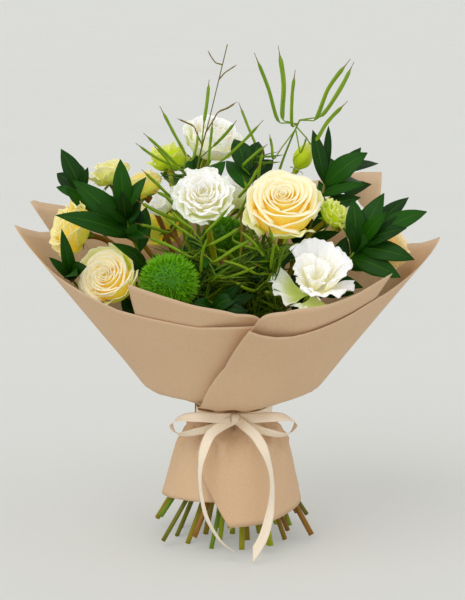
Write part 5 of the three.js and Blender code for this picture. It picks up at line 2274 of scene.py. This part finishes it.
RUSCUS: tuple[Ruscus, ...] = (
    Ruscus("ruscus_left", Ring.OUTER, ((-74, -30, 262), (-100, -44, 318), (-106, -46, 340)), (
        (0.6, (-153, -54, 369), 26), (0.92, (-108, -52, 388), 19), (0.62, (-165, -82, 340), 21),
        (0.75, (-128, -84, 350), 11), (0.66, (-80, -84, 319), 19), (0.85, (-92, -34, 362), 18),
        (0.42, (-112, -84, 312), 14)), 51, 11),
    Ruscus("ruscus_left_back", Ring.OUTER, ((-98, -2, 262), (-143, 12, 334), (-151, 12, 352)), (
        (0.9, (-170, 14, 392), 20), (0.8, (-176, 18, 354), 11), (0.95, (-144, 6, 374), 9),
        (0.6, (-104, 30, 322), 16)), 52),
    Ruscus("ruscus_left_low", Ring.OUTER, ((-102, -18, 226), (-148, -26, 256), (-160, -42, 274)), (
        (0.9, (-163, -74, 322), 13), (0.85, (-178, -44, 292), 10), (0.6, (-130, -6, 288), 14)), 53),
    Ruscus("ruscus_right_top", Ring.OUTER, ((66, -12, 290), (88, -18, 350), (93, -8, 374)), (
        (0.8, (79, -10, 413), 15), (0.95, (95, 8, 416), 8), (0.78, (130, -30, 393), 24),
        (0.9, (147, 20, 379), 13), (0.72, (130, 22, 360), 20), (0.66, (128, -38, 364), 12)), 54),
    Ruscus("ruscus_right", Ring.OUTER, ((74, -38, 250), (112, -58, 292), (130, -54, 314)), (
        (0.72, (146, -52, 356), 24), (0.9, (172, -30, 351), 18), (0.94, (189, -40, 338), 20),
        (0.88, (164, -84, 327), 18), (0.78, (112, -88, 331), 13), (0.84, (172, -88, 298), 21),
        (0.7, (160, -88, 280), 21)), 55, 14),
    Ruscus("ruscus_front", Ring.MIDDLE, ((-8, -62, 232), (-16, -104, 250), (-22, -112, 254)), (
        (0.86, (-36, -132, 262), 15), (0.9, (6, -124, 268), 17), (0.94, (14, -130, 254), 15),
        (0.7, (22, -104, 266), 12)), 56, 3),
    Ruscus("ruscus_back_right", Ring.OUTER, ((74, 62, 262), (104, 108, 318), (112, 116, 348)), (
        (0.6, (104, 84, 322), 15), (0.7, (84, 122, 336), 18), (0.8, (140, 78, 350), 19),
        (0.9, (102, 130, 372), 17), (0.98, (132, 104, 384), 18)), 57),
    Ruscus("ruscus_back_left", Ring.OUTER, ((-36, 66, 262), (-34, 116, 318), (-34, 126, 346)), (
        (0.6, (-4, 132, 328), 17), (0.8, (-76, 132, 356), 18), (0.84, (-8, 134, 368), 17),
        (0.92, (-62, 138, 382), 18), (1, (-34, 136, 394), 16)), 58),
)
PODS: tuple[PodSpray, ...] = (
    PodSpray("pods_right_top", Ring.MIDDLE, (
        (32, -22, 318), (47, -10, 376), (60, -10, 410), (66, -10, 423)), (
        (0.92, (46, -15, 421), (21, -25, 489)), (0.9, (50, 0, 422), (45, 15, 494)),
        (0.94, (59, -9, 416), (61, -15, 472)), (0.99, (80, -15, 423), (114, -25, 483)),
        (1, (86, 0, 425), (120, 15, 478)), (0.86, (78, -10, 399), (112, -20, 442)),
        (0.8, (40, -22, 386), (36, -26, 410)), (0.82, (66, -22, 392), (72, -26, 408))), 71, 0, thick=2.0),
    PodSpray("pods_left_top", Ring.INNER, ((-34, -16, 320), (-35, -4, 371), (-22, -2, 426), (-5, -2, 496)), (
        (0.6, (-28, -5, 420), (-23, 8, 461)), (0.45, (-25, -20, 377), (-19, -25, 425)),
        (0.56, (-19, -12, 397), (4, -30, 424)), (0.5, (-12, -20, 383), (30, -35, 425)),
        (0.62, (-38, -6, 416), (-54, -8, 424)), (0.68, (-14, -6, 430), (4, -6, 440)),
        (0.93, (-16, -4, 478), (-24, -4, 490)), (0.88, (-8, -3, 468), (4, -4, 476))), 72, 0, dry=True),
    PodSpray("pods_left", Ring.MIDDLE, ((-44, -40, 318), (-48, -26, 366), (-46, -20, 386)), (
        (0.9, (-46, -14, 388), (-71, -17, 437)), (0.86, (-54, -30, 381), (-86, -42, 413)),
        (0.8, (-60, -24, 380), (-94, -30, 402)), (0.82, (-56, -36, 376), (-75, -58, 402)),
        (0.7, (-58, -50, 352), (-86, -82, 382)), (0.66, (-54, -56, 344), (-74, -84, 362)),
        (0.6, (-50, -54, 330), (-92, -74, 352)), (0.5, (-60, -52, 318), (-92, -78, 330)),
        (0.95, (-40, -16, 384), (-34, -2, 412))), 73, 22, (-0.5, -0.25, 0.75)),
    PodSpray("pods_centre", Ring.MIDDLE, ((10, -42, 300), (16, -26, 352), (18, -14, 376)), (
        (0.96, (24, 4, 392), (6, 18, 438)), (0.9, (10, -24, 378), (34, -38, 402)),
        (0.8, (24, -30, 362), (30, -40, 398)), (0.74, (6, -40, 350), (26, -48, 384)),
        (0.66, (4, -48, 330), (20, -60, 366)), (0.6, (26, -40, 334), (10, -44, 372)),
        (0.5, (0, -58, 312), (34, -84, 304)), (0.42, (20, -60, 296), (14, -88, 330)),
        (0.36, (6, -66, 290), (-18, -92, 308))), 74, 56, top=400,
        blades=(
            (0.9, (2, 6, 404), 22), (0.92, (26, 8, 400), 20), (0.8, (40, -6, 384), 18),
            (0.7, (-6, 4, 382), 18))),
    PodSpray("pods_front_left", Ring.MIDDLE, ((-20, -62, 262), (-28, -84, 300), (-30, -90, 318)), (
        (0.9, (-36, -94, 318), (-66, -100, 340)), (0.82, (-22, -98, 312), (10, -108, 332)),
        (0.76, (-38, -96, 300), (-84, -104, 322)), (0.7, (-18, -98, 296), (22, -104, 320)),
        (0.62, (-30, -100, 286), (-22, -122, 326)), (0.56, (-12, -96, 280), (26, -114, 296)),
        (0.5, (-21, -92, 276), (-8, -128, 288)), (0.97, (-26, -92, 322), (-2, -104, 350)),
        (0.94, (-38, -90, 326), (-60, -92, 346))), 75, 40),
    PodSpray("pods_front_right", Ring.MIDDLE, ((24, -62, 252), (36, -84, 280), (40, -90, 296)), (
        (0.92, (32, -98, 298), (4, -112, 330)), (0.84, (36, -102, 290), (40, -124, 322)),
        (0.78, (24, -96, 284), (-14, -110, 300)), (0.7, (32, -98, 276), (36, -126, 290)),
        (0.64, (22, -94, 268), (0, -122, 282)), (0.58, (38, -90, 264), (30, -128, 272)),
        (0.97, (44, -94, 304), (34, -112, 332))), 76, 40),
)


def main() -> None:
    """Builds the bouquet."""
    logging.basicConfig(level=logging.INFO, format="%(message)s")
    palette = Palette()
    Studio().build(palette)
    bundle = Bundle([plant.stem() for plant in (*BLOOMS, *RUSCUS, *PODS)])
    for sheet in SHEETS:
        sheet.build(palette)
    Ribbon().build(palette)
    for bloom in BLOOMS:
        bloom.build(palette)
        bloom.build_stem(bundle.stems[bloom.name], palette)
    for spray in (*RUSCUS, *PODS):
        spray.build(bundle.stems[spray.name], BLOOMS, palette)
    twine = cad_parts["binding_twine"]
    twine.data.materials.clear()
    twine.data.materials.append(palette.of(JUTE))


if __name__ == "__main__":
    main()
